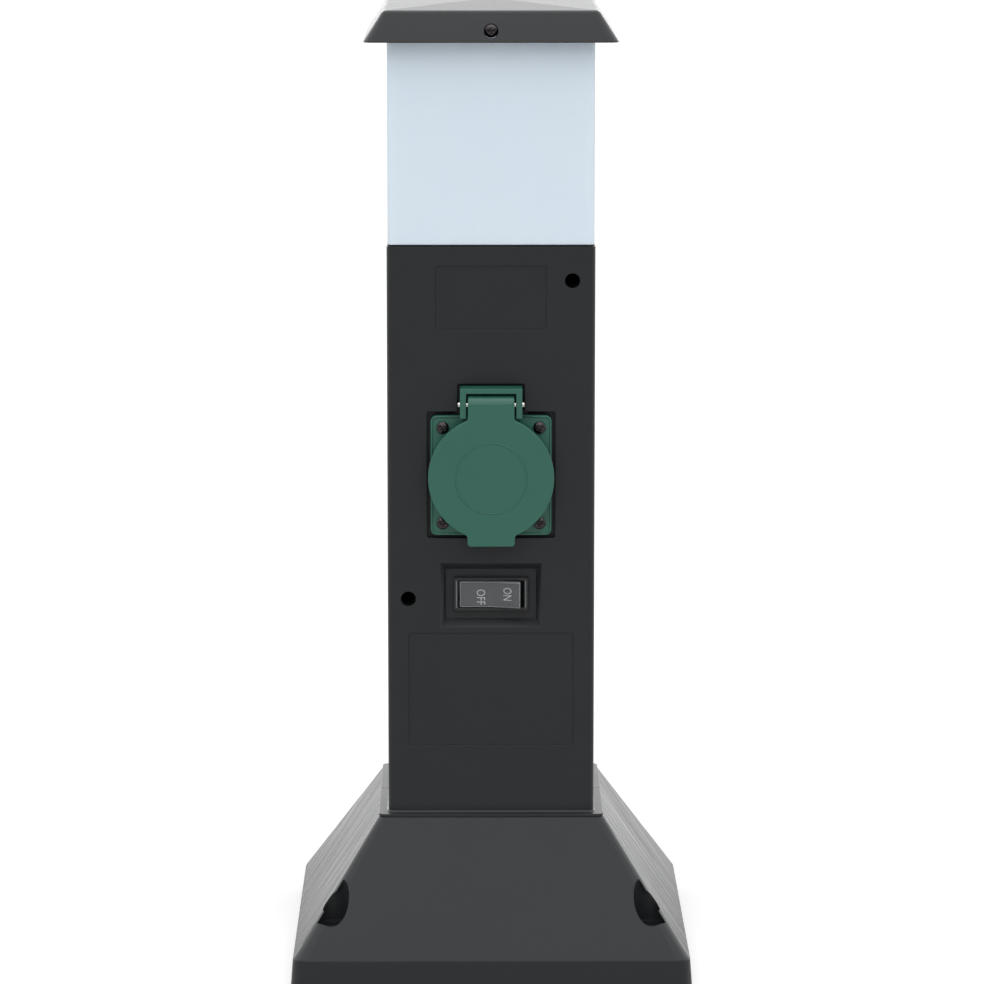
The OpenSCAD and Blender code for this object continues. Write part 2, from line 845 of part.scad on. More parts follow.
module socket_flange() {
    slot_x = [-strap_w / 2 - fit, strap_w / 2 + fit];
    color(green)
    on_front(0, socket_z) difference() {
        union() {
            plate(flange_w, flange_w, flange_r, flange_back, flange_face - flange_back);
            difference() {
                plate(flange_w, flange_w, flange_r, 0, flange_face + 0.5);
                plate(flange_w - 1.8, flange_w - 1.8, flange_r - 0.9, -1, 5);
                box([-frame_w / 2 + 1, frame_w / 2 - 1], [15, 30], [flange_face, 5]);
            }
            disc(collar_r, 0, collar_face);
            disc(cup_r, cup_back, -cup_back);
            hinge_frame();
        }
        disc(recess_r, recess_floor, 30);
        for (x = [-1, 1]) translate([x * pin_pitch / 2, 0, 0]) disc(2.8, cup_back - 1, 20);
        disc(1.7, cup_back - 1, 20);
        disc(3.1, recess_floor - 1.2, 20);
        box(slot_x, [-cup_r - 1, cup_r + 1], [cup_back - 1, recess_floor + 0.2]);
        for (y = [-1, 1]) translate([0, y * (recess_r + cup_r) / 2, 0])
            box(slot_x, [-3, 3], [cup_back - 1, -3]);
        corners(flange_pitch / 2, flange_pitch / 2) disc(1.7, -10, 20);
        translate([-frame_w, hinge_y, hinge_z]) rotate([0, 90, 0])
            cylinder(r = lid_pin_d / 2 + 0.02, h = 2 * frame_w);
    }
}

module flange_screws() {
    color(steel * 0.4)
    on_front(0, socket_z) corners(flange_pitch / 2, flange_pitch / 2)
        translate([0, 0, flange_face]) pan_screw(flange_head_r, 1.7, flange_screw_r, 12);
}

module socket_insert() {
    cavity = cup_back - shutter_cavity;
    color(black)
    on_front(0, socket_z) difference() {
        disc(insert_r, insert_back, cup_back - insert_back);
        difference() {
            disc(15.5, cavity, 10);
            disc(pillar_r, cavity - 1, 20);
        }
        for (x = [-1, 1]) translate([x * pin_pitch / 2, 0, 0]) {
            disc(sleeve_r + 0.1, sleeve_back, 40);
            disc(1.8, insert_back - 1, 10);
        }
        disc(1.25 + thread_gap, insert_back + 4, 40);
    }
}

module insert_screw() {
    color(steel)
    on_front(0, socket_z) translate([0, 0, recess_floor - 1.2]) pan_screw(2.8, 1.2, 1.25, 14);
}

module contact_sleeves() {
    top = cup_back - shutter_cavity - fit;
    color(brass)
    on_front(0, socket_z) for (x = [-1, 1]) translate([x * pin_pitch / 2, 0, 0]) difference() {
        union() {
            disc(sleeve_r, sleeve_back, top - sleeve_back);
            disc(1.7, insert_back - 1, sleeve_back - insert_back + 1 + eps);
            box([-box_w / 2, box_w / 2], [-box_h / 2, box_h / 2], [insert_back - box_d, insert_back]);
        }
        disc(2.4, sleeve_back + 1, 40);
        translate([0, -box_h, insert_back - box_d / 2]) rotate([-90, 0, 0])
            cylinder(r = wire_r, h = box_h + 2);
        disc(1.25, insert_back - box_d - 1, 5);
    }
}

// Flat strip from p to q in the y-z plane
module strip(p, q) {
    span = norm(q - p);
    translate([-strap_w / 2, p[0], p[1]]) rotate([atan2(q[1] - p[1], q[0] - p[0]), 0, 0])
        translate([0, -strap_t / 2, -strap_t / 2]) cube([strap_w, span + strap_t, strap_t]);
}

module earth_bow() {
    back = insert_back - strap_t / 2;
    leg_y = cup_r + 0.6;
    spring_y = recess_r - 1.1;
    bow = [[leg_y, back], [leg_y, -4.6], [leg_y - 1.8, -4.6], [spring_y, -7.4],
        [recess_r + 0.6, recess_floor + 0.8]];
    color(brass)
    on_front(0, socket_z) difference() {
        union() {
            strip([-leg_y, back], [leg_y, back]);
            for (s = [0, 1], i = [0:len(bow) - 2]) mirror([0, s, 0]) strip(bow[i], bow[i + 1]);
            box([-box_w / 2, box_w / 2], [earth_y - 4, earth_y + 4],
                [insert_back - strap_t - box_d + 1, back]);
        }
        translate([0, earth_y - 5, insert_back - box_d / 2]) rotate([-90, 0, 0])
            cylinder(r = wire_r, h = 7);
        translate([0, earth_y, 0]) disc(1.25, insert_back - strap_t - box_d, 5);
    }
}

module terminal_screws() {
    color(steel)
    on_front(0, socket_z) {
        for (x = [-1, 1]) translate([x * pin_pitch / 2, 0, insert_back - box_d]) mirror([0, 0, 1])
            pan_screw(2.4, 1.5, 1.2, 2.4);
        translate([0, earth_y, insert_back - strap_t - box_d + 1]) mirror([0, 0, 1])
            pan_screw(2.4, 1.5, 1.2, 2.2);
    }
}

// Turning disc whose windows meet the pin holes after its full turn
module socket_shutter() {
    top = cup_back - fit;
    color("white")
    on_front(0, socket_z) rotate([0, 0, -shutter_turn]) difference() {
        disc(14.8, top - shutter_t, shutter_t);
        disc(pillar_r + pin_gap, cup_back - 10, 20);
        for (x = [-1, 1]) translate([x * pin_pitch / 2, 0, 0]) disc(3, cup_back - 10, 20);
    }
}

// Hollow corners between the disc and a bar of the given half width, above (1) or below (-1) the centre
module disc_fillets(half_w, side) {
    c = [half_w + fillet_r, side * sqrt(pow(lid_r + fillet_r, 2) - pow(half_w + fillet_r, 2))];
    step = side * atan2(abs(c[1]), c[0]) / fillet_steps;
    touch = c * lid_r / (lid_r + fillet_r);
    for (m = [0, 1]) mirror([m, 0]) polygon(concat(
        [[half_w - 0.5, c[1]]],
        [for (k = [0:fillet_steps]) c + fillet_r * [cos(180 + k * step), sin(180 + k * step)]],
        [touch * 0.96, [half_w - 0.5, touch[1] * 0.96]]));
}

module lid_plan() {
    circle(r = lid_r, $fn = 96);
    disc_fillets(lid_arm_w / 2, 1);
    disc_fillets(tab_w / 2, -1);
    translate([-lid_arm_w / 2, 0]) square([lid_arm_w, hinge_y]);
    translate([-tab_w / 2, tab_y + tab_r]) square([tab_w, -tab_y - tab_r]);
    translate([-tab_w / 2 + tab_r, tab_y]) square([tab_w - 2 * tab_r, tab_r]);
    for (x = [-1, 1]) translate([x * (tab_w / 2 - tab_r), tab_y + tab_r]) circle(r = tab_r, $fn = 32);
}

module socket_lid() {
    color(green)
    on_front(0, socket_z) difference() {
        union() {
            translate([0, 0, lid_back]) linear_extrude(lid_face - lid_back) lid_plan();
            difference() {
                disc(lid_skirt_out, lid_skirt_low, lid_back - lid_skirt_low + eps);
                disc(lid_skirt_in, 0, lid_back);
            }
            translate([-lid_arm_w / 2, hinge_y, hinge_z]) rotate([0, 90, 0])
                cylinder(r = roll_r, h = lid_arm_w);
            difference() {
                disc(ring_r, lid_back, lid_face - lid_back + ring_h);
                disc(ring_r - ring_w, 0, 20);
            }
        }
        translate([-lid_arm_w, hinge_y, hinge_z]) rotate([0, 90, 0])
            cylinder(r = lid_pin_d / 2 + pin_gap, h = 2 * lid_arm_w);
        translate([-spring_cavity_w / 2, hinge_y, hinge_z]) rotate([0, 90, 0])
            cylinder(r = spring_cavity_r, h = spring_cavity_w);
        box([-spring_cavity_w / 2, spring_cavity_w / 2], [hinge_y - spring_cavity_r, hinge_y],
            [0, hinge_z]);
        box([-spring_cavity_w / 2, -spring_cavity_w / 2 + 1.6], [16, hinge_y], [0, lid_back + 1.3]);
    }
}

module lid_seal() {
    color(black)
    on_front(0, socket_z) difference() {
        disc(22.7, collar_face + 0.25, lid_back - collar_face - 0.25);
        disc(21.2, 0, 20);
    }
}

module lid_pin() {
    color(steel)
    on_front(0, socket_z) translate([-frame_w / 2 - 0.9, hinge_y, hinge_z]) rotate([0, 90, 0])
        cylinder(r = lid_pin_d / 2, h = frame_w + 1.8);
}

// Torsion spring: one leg along the arm, one towards the flange
lid_coil_r = 2.1;
lid_coil_turns = 5;
lid_coil_x = spring_cavity_w / 2 - 0.9;
lid_coil_pitch = 2 * lid_coil_x / (lid_coil_turns + 0.25);
lid_leg = [for (y = [-8, -5, -2.5]) [-lid_coil_x, y, lid_coil_r]];
lid_coil = [for (i = [0:(lid_coil_turns + 0.25) * coil_steps]) let (a = 90 - i * 360 / coil_steps)
    [-lid_coil_x + lid_coil_pitch * i / coil_steps, lid_coil_r * cos(a), lid_coil_r * sin(a)]];
lid_tail = [[lid_coil_x, lid_coil_r, -spring_wire]];
echo(lid_spring_gap = least_gap(lid_coil, spring_wire));

module lid_spring() {
    color(steel)
    on_front(0, socket_z) translate([0, hinge_y, hinge_z]) {
        tube(concat(lid_leg, lid_coil, lid_tail), spring_wire / 2, spring_sides, [1, 0, 0]);
    }
}

// Switch

// Side view of the rocker in its level position, grown by g at its ends and top
function rocker_side(g) = [[-rocker_l / 2 - g, rocker_end + g], [0, rocker_mid + g],
    [rocker_l / 2 + g, rocker_end + g], [rocker_l / 2 + g, rocker_end - 3],
    [4, -7.5], [-4, -7.5], [-rocker_l / 2 - g, rocker_end - 3]];

module side_block(points, w) {
    translate([0, w / 2, 0]) rotate([90, 0, 0]) linear_extrude(w) polygon(points);
}

module tilted(angle, z) {
    translate([0, 0, z]) rotate([0, angle, 0]) translate([0, 0, -z]) children();
}

module switch_body() {
    color(black)
    on_front(0, switch_z) difference() {
        union() {
            plate(bezel_l, bezel_w, 1, -switch_depth, bezel_h);
            plate(case_l, case_w, 0.5, case_back, -switch_depth - case_back + eps);
        }
        plate(opening_l, opening_w, 0.5, case_floor, 30);
        translate([0, bezel_w, rocker_z]) rotate([90, 0, 0])
            cylinder(r = trunnion_r + pin_gap, h = 2 * bezel_w);
        for (x = [0, tab_x]) translate([x, 0, 0])
            box([-1.05, 1.05], [-3.2, 3.2], [case_back - 1, case_floor + 1]);
    }
}

module switch_terminals() {
    color(brass)
    on_front(0, switch_z) difference() {
        for (t = [[0, blade_z - 0.35], [tab_x, blade_z - 1.1]]) translate([t[0], 0, 0]) {
            box([-1, 1], [-3.15, 3.15], [case_back, t[1]]);
            box([-0.4, 0.4], [-3.15, 3.15], [spade_end, case_back + eps]);
        }
        blade_pivot(pin_gap, 8);
    }
}

module blade_pivot(gap, w) {
    translate([0, w / 2, blade_z]) rotate([90, 0, 0]) cylinder(r = blade_pivot_r + gap, h = w);
}

module contact_blade() {
    color(brass)
    on_front(0, switch_z) tilted(blade_ratio * rocker_tilt, blade_z) {
        box([-blade_l / 2, blade_l / 2], [-blade_w / 2, blade_w / 2], [blade_z, blade_z + blade_t]);
        blade_pivot(0, blade_w);
    }
}

module switch_rocker() {
    color(black)
    on_front(0, switch_z) tilted(-rocker_tilt, rocker_z) difference() {
        union() {
            side_block(rocker_side(0), rocker_w);
            disc(stem_r, -11, 5);
            translate([0, case_w / 2, rocker_z]) rotate([90, 0, 0])
                cylinder(r = trunnion_r, h = case_w);
        }
        disc(plunger_r + 0.1, -12, 6.4);
    }
}

module switch_boot() {
    color([0.8, 0.82, 0.84, 0.4])
    on_front(0, switch_z) tilted(-rocker_tilt, rocker_z) difference() {
        side_block([for (p = rocker_side(boot_t)) [p[0], max(p[1], rocker_mid - 1)]],
            rocker_w + 2 * boot_t);
        side_block([for (p = rocker_side(0)) [p[0], p[1] < rocker_mid - 1 ? -9 : p[1]]], rocker_w);
    }
}

module switch_plunger() {
    color(cream)
    on_front(0, switch_z) tilted(-rocker_tilt, rocker_z) union() {
        disc(plunger_r, plunger_tip + plunger_r, 3.4);
        translate([0, 0, plunger_tip + plunger_r]) sphere(r = plunger_r);
    }
}

plunger_coil_top = -5.65;
plunger_coil_low = plunger_tip + plunger_r + 3.6;
plunger_wire = 0.4;
plunger_turns = 2.5;
plunger_pitch = (plunger_coil_top - plunger_coil_low - plunger_wire - 0.1) / plunger_turns;
plunger_coil = [for (p = coil_path(1, 0, plunger_pitch, plunger_turns, 0))
    [p[1], p[2], plunger_coil_low + plunger_wire / 2 + 0.05 + p[0]]];
plunger_tail = plunger_coil[len(plunger_coil) - 1];
plunger_wound = concat([[1, -plunger_wire - 0.1, plunger_coil[0][2]]], plunger_coil,
    [[plunger_tail[0], plunger_tail[1] - plunger_wire - 0.1, plunger_tail[2]]]);
echo(plunger_spring_gap = least_gap(plunger_wound, plunger_wire));

module plunger_spring() {
    color(steel)
    on_front(0, switch_z) tilted(-rocker_tilt, rocker_z)
        tube(plunger_wound, plunger_wire / 2, spring_sides, [0, 0, 1]);
}

module spade_connectors() {
    color(steel)
    on_front(0, switch_z) for (x = [0, tab_x]) translate([x, 0, 0]) difference() {
        union() {
            box([-1.6, 1.6], [-3.9, 3.9], [spade_end - 0.5, spade_end + 7]);
            disc(wire_r + 0.5, crimp_end, spade_end - crimp_end);
        }
        box([-0.45, 0.45], [-3.2, 3.2], [spade_end - eps, 0]);
        disc(wire_r, crimp_end - 1, lead_in + 2);
    }
}

// Terminal block

module terminal_block() {
    poles = [-pole_pitch, 0, pole_pitch];
    color(cream)
    difference() {
        box([-block_w / 2, block_w / 2], [block_y - block_d, block_y],
            [block_z - block_h / 2, block_top]);
        for (x = poles) {
            box([x - 4.6, x + 4.6], [port_y - 3.6, block_y + 1], [block_z - 7.2, block_z + 7.2]);
            translate([x, port_y, block_z - block_h / 2 - 1]) cylinder(r = 2.2, h = 6);
            for (i = [-1, 1]) translate([x + i * port_step, port_y, block_z + 5])
                cylinder(r = wire_r, h = 10);
            for (i = [-1, 1]) translate([x, 0, block_z + i * 4.5]) rotate([-90, 0, 0])
                disc(2.1, block_y - block_d - 1, 6);
        }
        for (x = [-1, 1]) translate([x * post_x, 0, block_z]) rotate([-90, 0, 0]) disc(1.35, 0, rim_z);
    }
}

module terminal_clamps() {
    color(brass)
    for (x = [-pole_pitch, 0, pole_pitch]) difference() {
        box([x - 4.5, x + 4.5], [port_y - 3.5, port_y + 3.5], [block_z - 7, block_z + 7]);
        translate([x, port_y, block_z - 8]) cylinder(r = 2.2, h = 6);
        for (i = [-1, 1]) translate([x + i * port_step, port_y, block_z + 2]) cylinder(r = 1.3, h = 10);
        for (i = [-1, 1]) translate([x, 0, block_z + i * 4.5]) rotate([-90, 0, 0]) disc(1.25, 0, port_y);
    }
}

module clamp_screws() {
    color(steel)
    for (x = [-pole_pitch, 0, pole_pitch], i = [-1, 1])
        translate([x, port_y - 3.5, block_z + i * 4.5]) rotate([90, 0, 0]) pan_screw(1.9, 1.6, 1.2, 3);
}

module block_screws() {
    color(steel)
    for (x = [-1, 1]) translate([x * post_x, block_y - block_d, block_z]) rotate([90, 0, 0])
        pan_screw(2.2, 1.6, 1.3, block_d + 3);
}

// Internal leads

socket_back = -col_w / 2 - insert_back;
box_y = socket_back + box_d / 2;
box_low = socket_z - box_h / 2;
earth_low = socket_z + earth_y - 4;
crimp_y = -col_w / 2 - crimp_end;
lane_y = port_y;

module lead(points, shade) {
    color(shade) tube(smooth_path(points, 2.5 * lead_d), lead_d / 2, lead_sides, [1, 0, 0]);
}

// Straight start of a lead, rising out of its port in the terminal block
function port(x) = bore_end(x, lane_y, block_top);

// Straight end of a lead in an upright bore whose mouth is at height z
function bore_end(x, y, z) = [for (i = [-1:1]) [x, y, z + i * lead_in]];

// Straight end of a lead in the crimp sleeve of a connector
function crimp(x) = [for (i = [-1:1]) [x, crimp_y + i * lead_in, switch_z]];

module lead_socket_live() {
    x = -pole_pitch - port_step;
    lead(concat(port(x), [[x, lane_y, socket_z - leave_drop],
        [x + 1, lane_y - 6, socket_z - swing_drop], [-pin_pitch / 2 - 1, box_y + 8, socket_z - reach_drop]],
        bore_end(-pin_pitch / 2, box_y, box_low)), brown);
}

module lead_socket_neutral() {
    x = pole_pitch + port_step;
    lead(concat(port(x), [[x, lane_y, socket_z - leave_drop],
        [x - 1, lane_y - 6, socket_z - swing_drop], [pin_pitch / 2 + 1, box_y + 8, socket_z - reach_drop]],
        bore_end(pin_pitch / 2, box_y, box_low)), blue);
}

module lead_socket_earth() {
    x = port_step;
    lead(concat(port(x), [[x, lane_y - 1, earth_low - leave_drop + 10],
        [x, lane_y - 8, earth_low - swing_drop + 8], [1, box_y + 8, earth_low - reach_drop + 7]],
        bore_end(0, box_y, earth_low)), lime);
}

module lead_switch_feed() {
    x = -pole_pitch + port_step;
    lead(concat(port(x), [[x + 1, lane_y - 4, switch_z - 18], [-4, crimp_y + 14, switch_z - 4]],
        [for (i = [2:-1:0]) crimp(0)[i]]), brown);
}

module lead_lamp_live() {
    lead(concat(crimp(tab_x), [[-8, 14, switch_z + 12], [-wire_x, 22, switch_z + 34],
        [-wire_x, 24, socket_z + 10], [-wire_x, 16, holder_z - 26], [-wire_x, 3, holder_z - 12]],
        bore_end(-wire_x, 0, holder_z)), black);
}

module lead_lamp_neutral() {
    x = pole_pitch - port_step;
    lead(concat(port(x), [[x, lane_y, switch_z], [x - 1, lane_y, socket_z - 10], [8, 26, socket_z + 28],
        [wire_x + 1, 14, holder_z - 22], [wire_x, 3, holder_z - 12]],
        bore_end(wire_x, 0, holder_z)), blue);
}

base_shell();
gland_body();
gland_locknut();
gland_dome_nut();
gland_seal();
foot_screws();
column_front();
column_rear();
column_screws();
shade_seal();
opal_shade();
cap();
cap_screws();
lamp_bracket();
bracket_screws();
lampholder_body();
lampholder_shell();
lampholder_contact();
lampholder_screws();
lamp_base();
lamp_housing();
lamp_globe();
socket_gasket();
socket_flange();
flange_screws();
socket_insert();
insert_screw();
contact_sleeves();
earth_bow();
terminal_screws();
socket_shutter();
socket_lid();
lid_seal();
lid_pin();
lid_spring();
switch_body();
switch_terminals();
contact_blade();
switch_rocker();
switch_boot();
switch_plunger();
plunger_spring();
spade_connectors();
terminal_block();
terminal_clamps();
clamp_screws();
block_screws();
lead_socket_live();
lead_socket_neutral();
lead_socket_earth();
lead_switch_feed();
lead_lamp_live();
lead_lamp_neutral();
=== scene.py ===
import bmesh
import bpy
import json
import math
from mathutils import Matrix, Vector


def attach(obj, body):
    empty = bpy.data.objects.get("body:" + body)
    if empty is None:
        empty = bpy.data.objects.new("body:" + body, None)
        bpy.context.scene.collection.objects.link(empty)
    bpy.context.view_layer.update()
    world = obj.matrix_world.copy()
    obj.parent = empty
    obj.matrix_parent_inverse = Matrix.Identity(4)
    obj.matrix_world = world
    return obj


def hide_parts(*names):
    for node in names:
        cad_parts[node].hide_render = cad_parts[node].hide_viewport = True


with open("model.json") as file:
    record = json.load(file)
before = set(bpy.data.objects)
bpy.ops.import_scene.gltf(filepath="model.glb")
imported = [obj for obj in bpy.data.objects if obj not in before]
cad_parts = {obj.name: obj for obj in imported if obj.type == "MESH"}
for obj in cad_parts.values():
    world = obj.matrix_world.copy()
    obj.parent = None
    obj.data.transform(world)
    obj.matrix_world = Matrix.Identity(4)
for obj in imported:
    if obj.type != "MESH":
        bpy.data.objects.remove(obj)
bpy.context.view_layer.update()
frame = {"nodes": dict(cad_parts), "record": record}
cad = frame["nodes"]
mm = 0.001
print("frame:", len(cad), "CAD nodes")


# camera, light and floor: as the photograph was taken, in mm and degrees
photoCamera = {"lens": 162.2, "sensor": 36, "near": 50.0, "place": (-10.1, -1853.5, 511.0),
               "pitchDown": 9.69, "turnRight": 0.332}
studio = {
    "keyPower": 1.75, "keyHeight": 52.0, "keySpread": 80.0, "fill": 0.42,
    "roomFront": 0.25, "roomBack": 2.35, "roomTurn": (-0.7, 0.15),  # what shiny surfaces see, front to back
    "floorSide": 24000.0, "floorDrop": 0.4, "floorGlow": 0.4, "sweepGlow": 0.42, "sweepReach": 400.0,
}


def addNode(tree, kind, inputs=None, **settings):
    node = tree.nodes.new(kind)
    for key, value in settings.items():
        setattr(node, key, value)
    for key, value in (inputs or {}).items():
        if isinstance(value, bpy.types.NodeSocket):
            tree.links.new(value, node.inputs[key])
        else:
            node.inputs[key].default_value = value
    return node


def paint(hexText):  # sRGB hex to the linear colour that a socket wants
    parts = [int(hexText[i:i + 2], 16) / 255 for i in (0, 2, 4)]
    return tuple(c / 12.92 if c <= 0.04045 else ((c + 0.055) / 1.055) ** 2.4 for c in parts) + (1.0,)


def makeCamera():
    cameraData = bpy.data.cameras.new("photoCamera")
    cameraData.lens = photoCamera["lens"]
    cameraData.sensor_width = photoCamera["sensor"]
    cameraData.clip_start = photoCamera["near"] * mm
    camera = bpy.data.objects.new("photoCamera", cameraData)
    camera.location = Vector(photoCamera["place"]) * mm
    pitch = math.radians(90 - photoCamera["pitchDown"])
    camera.rotation_euler = (pitch, 0, -math.radians(photoCamera["turnRight"]))
    bpy.context.scene.collection.objects.link(camera)
    bpy.context.scene.camera = camera


def makeAir():  # white to the eye, dim to matt surfaces, and brighter towards the back for shiny ones
    world = bpy.data.worlds.new("studioAir")
    world.use_nodes = True
    tree = world.node_tree
    tree.nodes.clear()
    white = paint("ffffff")
    path = addNode(tree, "ShaderNodeLightPath")
    shine = addNode(tree, "ShaderNodeMath", {
        0: path.outputs["Is Glossy Ray"], 1: path.outputs["Is Transmission Ray"]}, operation="MAXIMUM")
    looking = addNode(tree, "ShaderNodeTexCoord")
    facing = addNode(tree, "ShaderNodeSeparateXYZ", {0: looking.outputs["Generated"]})
    room = addNode(tree, "ShaderNodeMapRange", {
        "Value": facing.outputs["Y"], "From Min": studio["roomTurn"][0], "From Max": studio["roomTurn"][1],
        "To Min": studio["roomFront"], "To Max": studio["roomBack"]})
    soft = addNode(tree, "ShaderNodeBackground", {"Color": white, "Strength": studio["fill"]})
    around = addNode(tree, "ShaderNodeBackground", {"Color": white, "Strength": room.outputs[0]})
    backdrop = addNode(tree, "ShaderNodeBackground", {"Color": white, "Strength": 1.0})
    lighting = addNode(tree, "ShaderNodeMixShader", {
        0: shine.outputs[0], 1: soft.outputs[0], 2: around.outputs[0]})
    mixed = addNode(tree, "ShaderNodeMixShader", {
        0: path.outputs["Is Camera Ray"], 1: lighting.outputs[0], 2: backdrop.outputs[0]})
    addNode(tree, "ShaderNodeOutputWorld", {"Surface": mixed.outputs[0]})
    bpy.context.scene.world = world


def makeKey():
    light = bpy.data.lights.new("keyLight", "SUN")
    light.energy = studio["keyPower"]
    light.angle = math.radians(studio["keySpread"])
    key = bpy.data.objects.new("keyLight", light)
    key.rotation_euler = (math.radians(90 - studio["keyHeight"]), 0, 0)
    bpy.context.scene.collection.objects.link(key)


def makeFloorPaint():  # pale painted board: white to the eye, keeps the soft shadow
    material = bpy.data.materials.new("matteWhiteFloor")
    material.use_nodes = True
    tree = material.node_tree
    tree.nodes.clear()
    path = addNode(tree, "ShaderNodeLightPath")
    glow = addNode(tree, "ShaderNodeMath", {
        0: path.outputs["Is Camera Ray"], 1: studio["floorGlow"]}, operation="MULTIPLY")
    here = addNode(tree, "ShaderNodeNewGeometry")
    spot = addNode(tree, "ShaderNodeSeparateXYZ", {0: here.outputs["Position"]})
    sweep = addNode(tree, "ShaderNodeMapRange", {  # shiny slopes see a brighter floor behind the object
        "Value": spot.outputs["Y"], "From Min": 0.0, "From Max": studio["sweepReach"] * mm,
        "To Min": 0.0, "To Max": studio["sweepGlow"]})
    shine = addNode(tree, "ShaderNodeMath", {
        0: path.outputs["Is Glossy Ray"], 1: sweep.outputs[0], 2: glow.outputs[0]}, operation="MULTIPLY_ADD")
    board = addNode(tree, "ShaderNodeBsdfDiffuse", {"Color": paint("f4f4f4")})
    lit = addNode(tree, "ShaderNodeEmission", {"Color": paint("ffffff"), "Strength": shine.outputs[0]})
    both = addNode(tree, "ShaderNodeAddShader", {0: board.outputs[0], 1: lit.outputs[0]})
    addNode(tree, "ShaderNodeOutputMaterial", {"Surface": both.outputs[0]})
    return material


def makeFloor():
    half, drop = studio["floorSide"] / 2 * mm, -studio["floorDrop"] * mm
    mesh = bpy.data.meshes.new("studioFloor")
    mesh.from_pydata([(-half, -half, drop), (half, -half, drop), (half, half, drop), (-half, half, drop)],
                     [], [(0, 1, 2, 3)])
    floor = bpy.data.objects.new("studioFloor", mesh)
    bpy.context.scene.collection.objects.link(floor)
    mesh.materials.append(makeFloorPaint())


bpy.context.scene.view_settings.view_transform = "Standard"
makeCamera()
makeAir()
makeKey()
makeFloor()
print("studio: camera, key light and floor")


# materials, each named for what it is made of
plasticIor, filmIor = 1.5, 1.45
noiseSpan = (0.3, 0.7)  # most values of a noise lie between these
plasticWear = {"spread": 0.05, "depth": 0.25}  # swing of the roughness, and height as a share of the grain
metalWear = {"spread": 0.08, "depth": 0.2, "bump": 0.25}
dragMarks = {  # left by the mould: width in mm, and how much the pattern is drawn out along them
    "width": 2.6, "along": 0.06, "detail": 4.0, "fray": 0.6, "from": (0.35, 0.65), "to": (-1.0, 0.2),
}
fullTurn = 6.28  # the wave texture counts in radians


def startMaterial(name, look):
    material = bpy.data.materials.new(name)
    material.use_nodes = True
    tree = material.node_tree
    tree.nodes.clear()
    coords = addNode(tree, "ShaderNodeTexCoord").outputs["Object"]
    surface = addNode(tree, "ShaderNodeBsdfPrincipled", {"Roughness": look["rough"]})
    addNode(tree, "ShaderNodeOutputMaterial", {"Surface": surface.outputs[0]})
    material.diffuse_color = paint(look["colour"])
    return material, tree, coords, surface


def dressSurface(tree, surface, look, share, marks, wear):
    # Two tones that run into each other, and marks that break up the shine and stand in slight relief
    tone = addNode(tree, "ShaderNodeMix", {0: share, 6: paint(look["colour"]), 7: paint(look["tone"])},
                   data_type="RGBA")
    gloss = addNode(tree, "ShaderNodeMapRange", {
        "Value": marks, "From Min": noiseSpan[0], "From Max": noiseSpan[1],
        "To Min": look["rough"] - wear["spread"], "To Max": look["rough"] + wear["spread"]})
    bump = addNode(tree, "ShaderNodeBump", {
        "Height": marks, "Strength": wear["bump"], "Distance": look["grain"] * mm * wear["depth"]})
    tree.links.new(tone.outputs[2], surface.inputs["Base Color"])
    tree.links.new(gloss.outputs[0], surface.inputs["Roughness"])
    tree.links.new(bump.outputs[0], surface.inputs["Normal"])
    return gloss.outputs[0]


def drawMarks(tree, coords, surface, strength, gloss):
    # Marks that the mould drew down the side slopes as it opened, seen where light grazes them
    drawn = addNode(tree, "ShaderNodeMapping", {
        "Vector": coords, "Scale": (dragMarks["along"], 1.0, dragMarks["along"])})
    marks = addNode(tree, "ShaderNodeTexNoise", {
        "Vector": drawn.outputs[0], "Scale": 1 / (dragMarks["width"] * mm),
        "Detail": dragMarks["detail"], "Roughness": dragMarks["fray"]})
    here = addNode(tree, "ShaderNodeNewGeometry")
    slope = addNode(tree, "ShaderNodeSeparateXYZ", {0: here.outputs["True Normal"]})
    across = addNode(tree, "ShaderNodeMath", {0: slope.outputs["X"]}, operation="ABSOLUTE")
    rising = addNode(tree, "ShaderNodeMath", {0: slope.outputs["Z"], 1: 0.0}, operation="MAXIMUM")
    mask = addNode(tree, "ShaderNodeMath", {0: across.outputs[0], 1: rising.outputs[0]}, operation="MULTIPLY")
    depth = addNode(tree, "ShaderNodeMath", {0: mask.outputs[0], 1: strength}, operation="MULTIPLY")
    shift = addNode(tree, "ShaderNodeMapRange", {
        "Value": marks.outputs["Fac"], "From Min": dragMarks["from"][0], "From Max": dragMarks["from"][1],
        "To Min": dragMarks["to"][0], "To Max": dragMarks["to"][1]})
    worn = addNode(tree, "ShaderNodeMath", {
        0: shift.outputs[0], 1: depth.outputs[0], 2: gloss}, operation="MULTIPLY_ADD")
    tree.links.new(worn.outputs[0], surface.inputs["Roughness"])


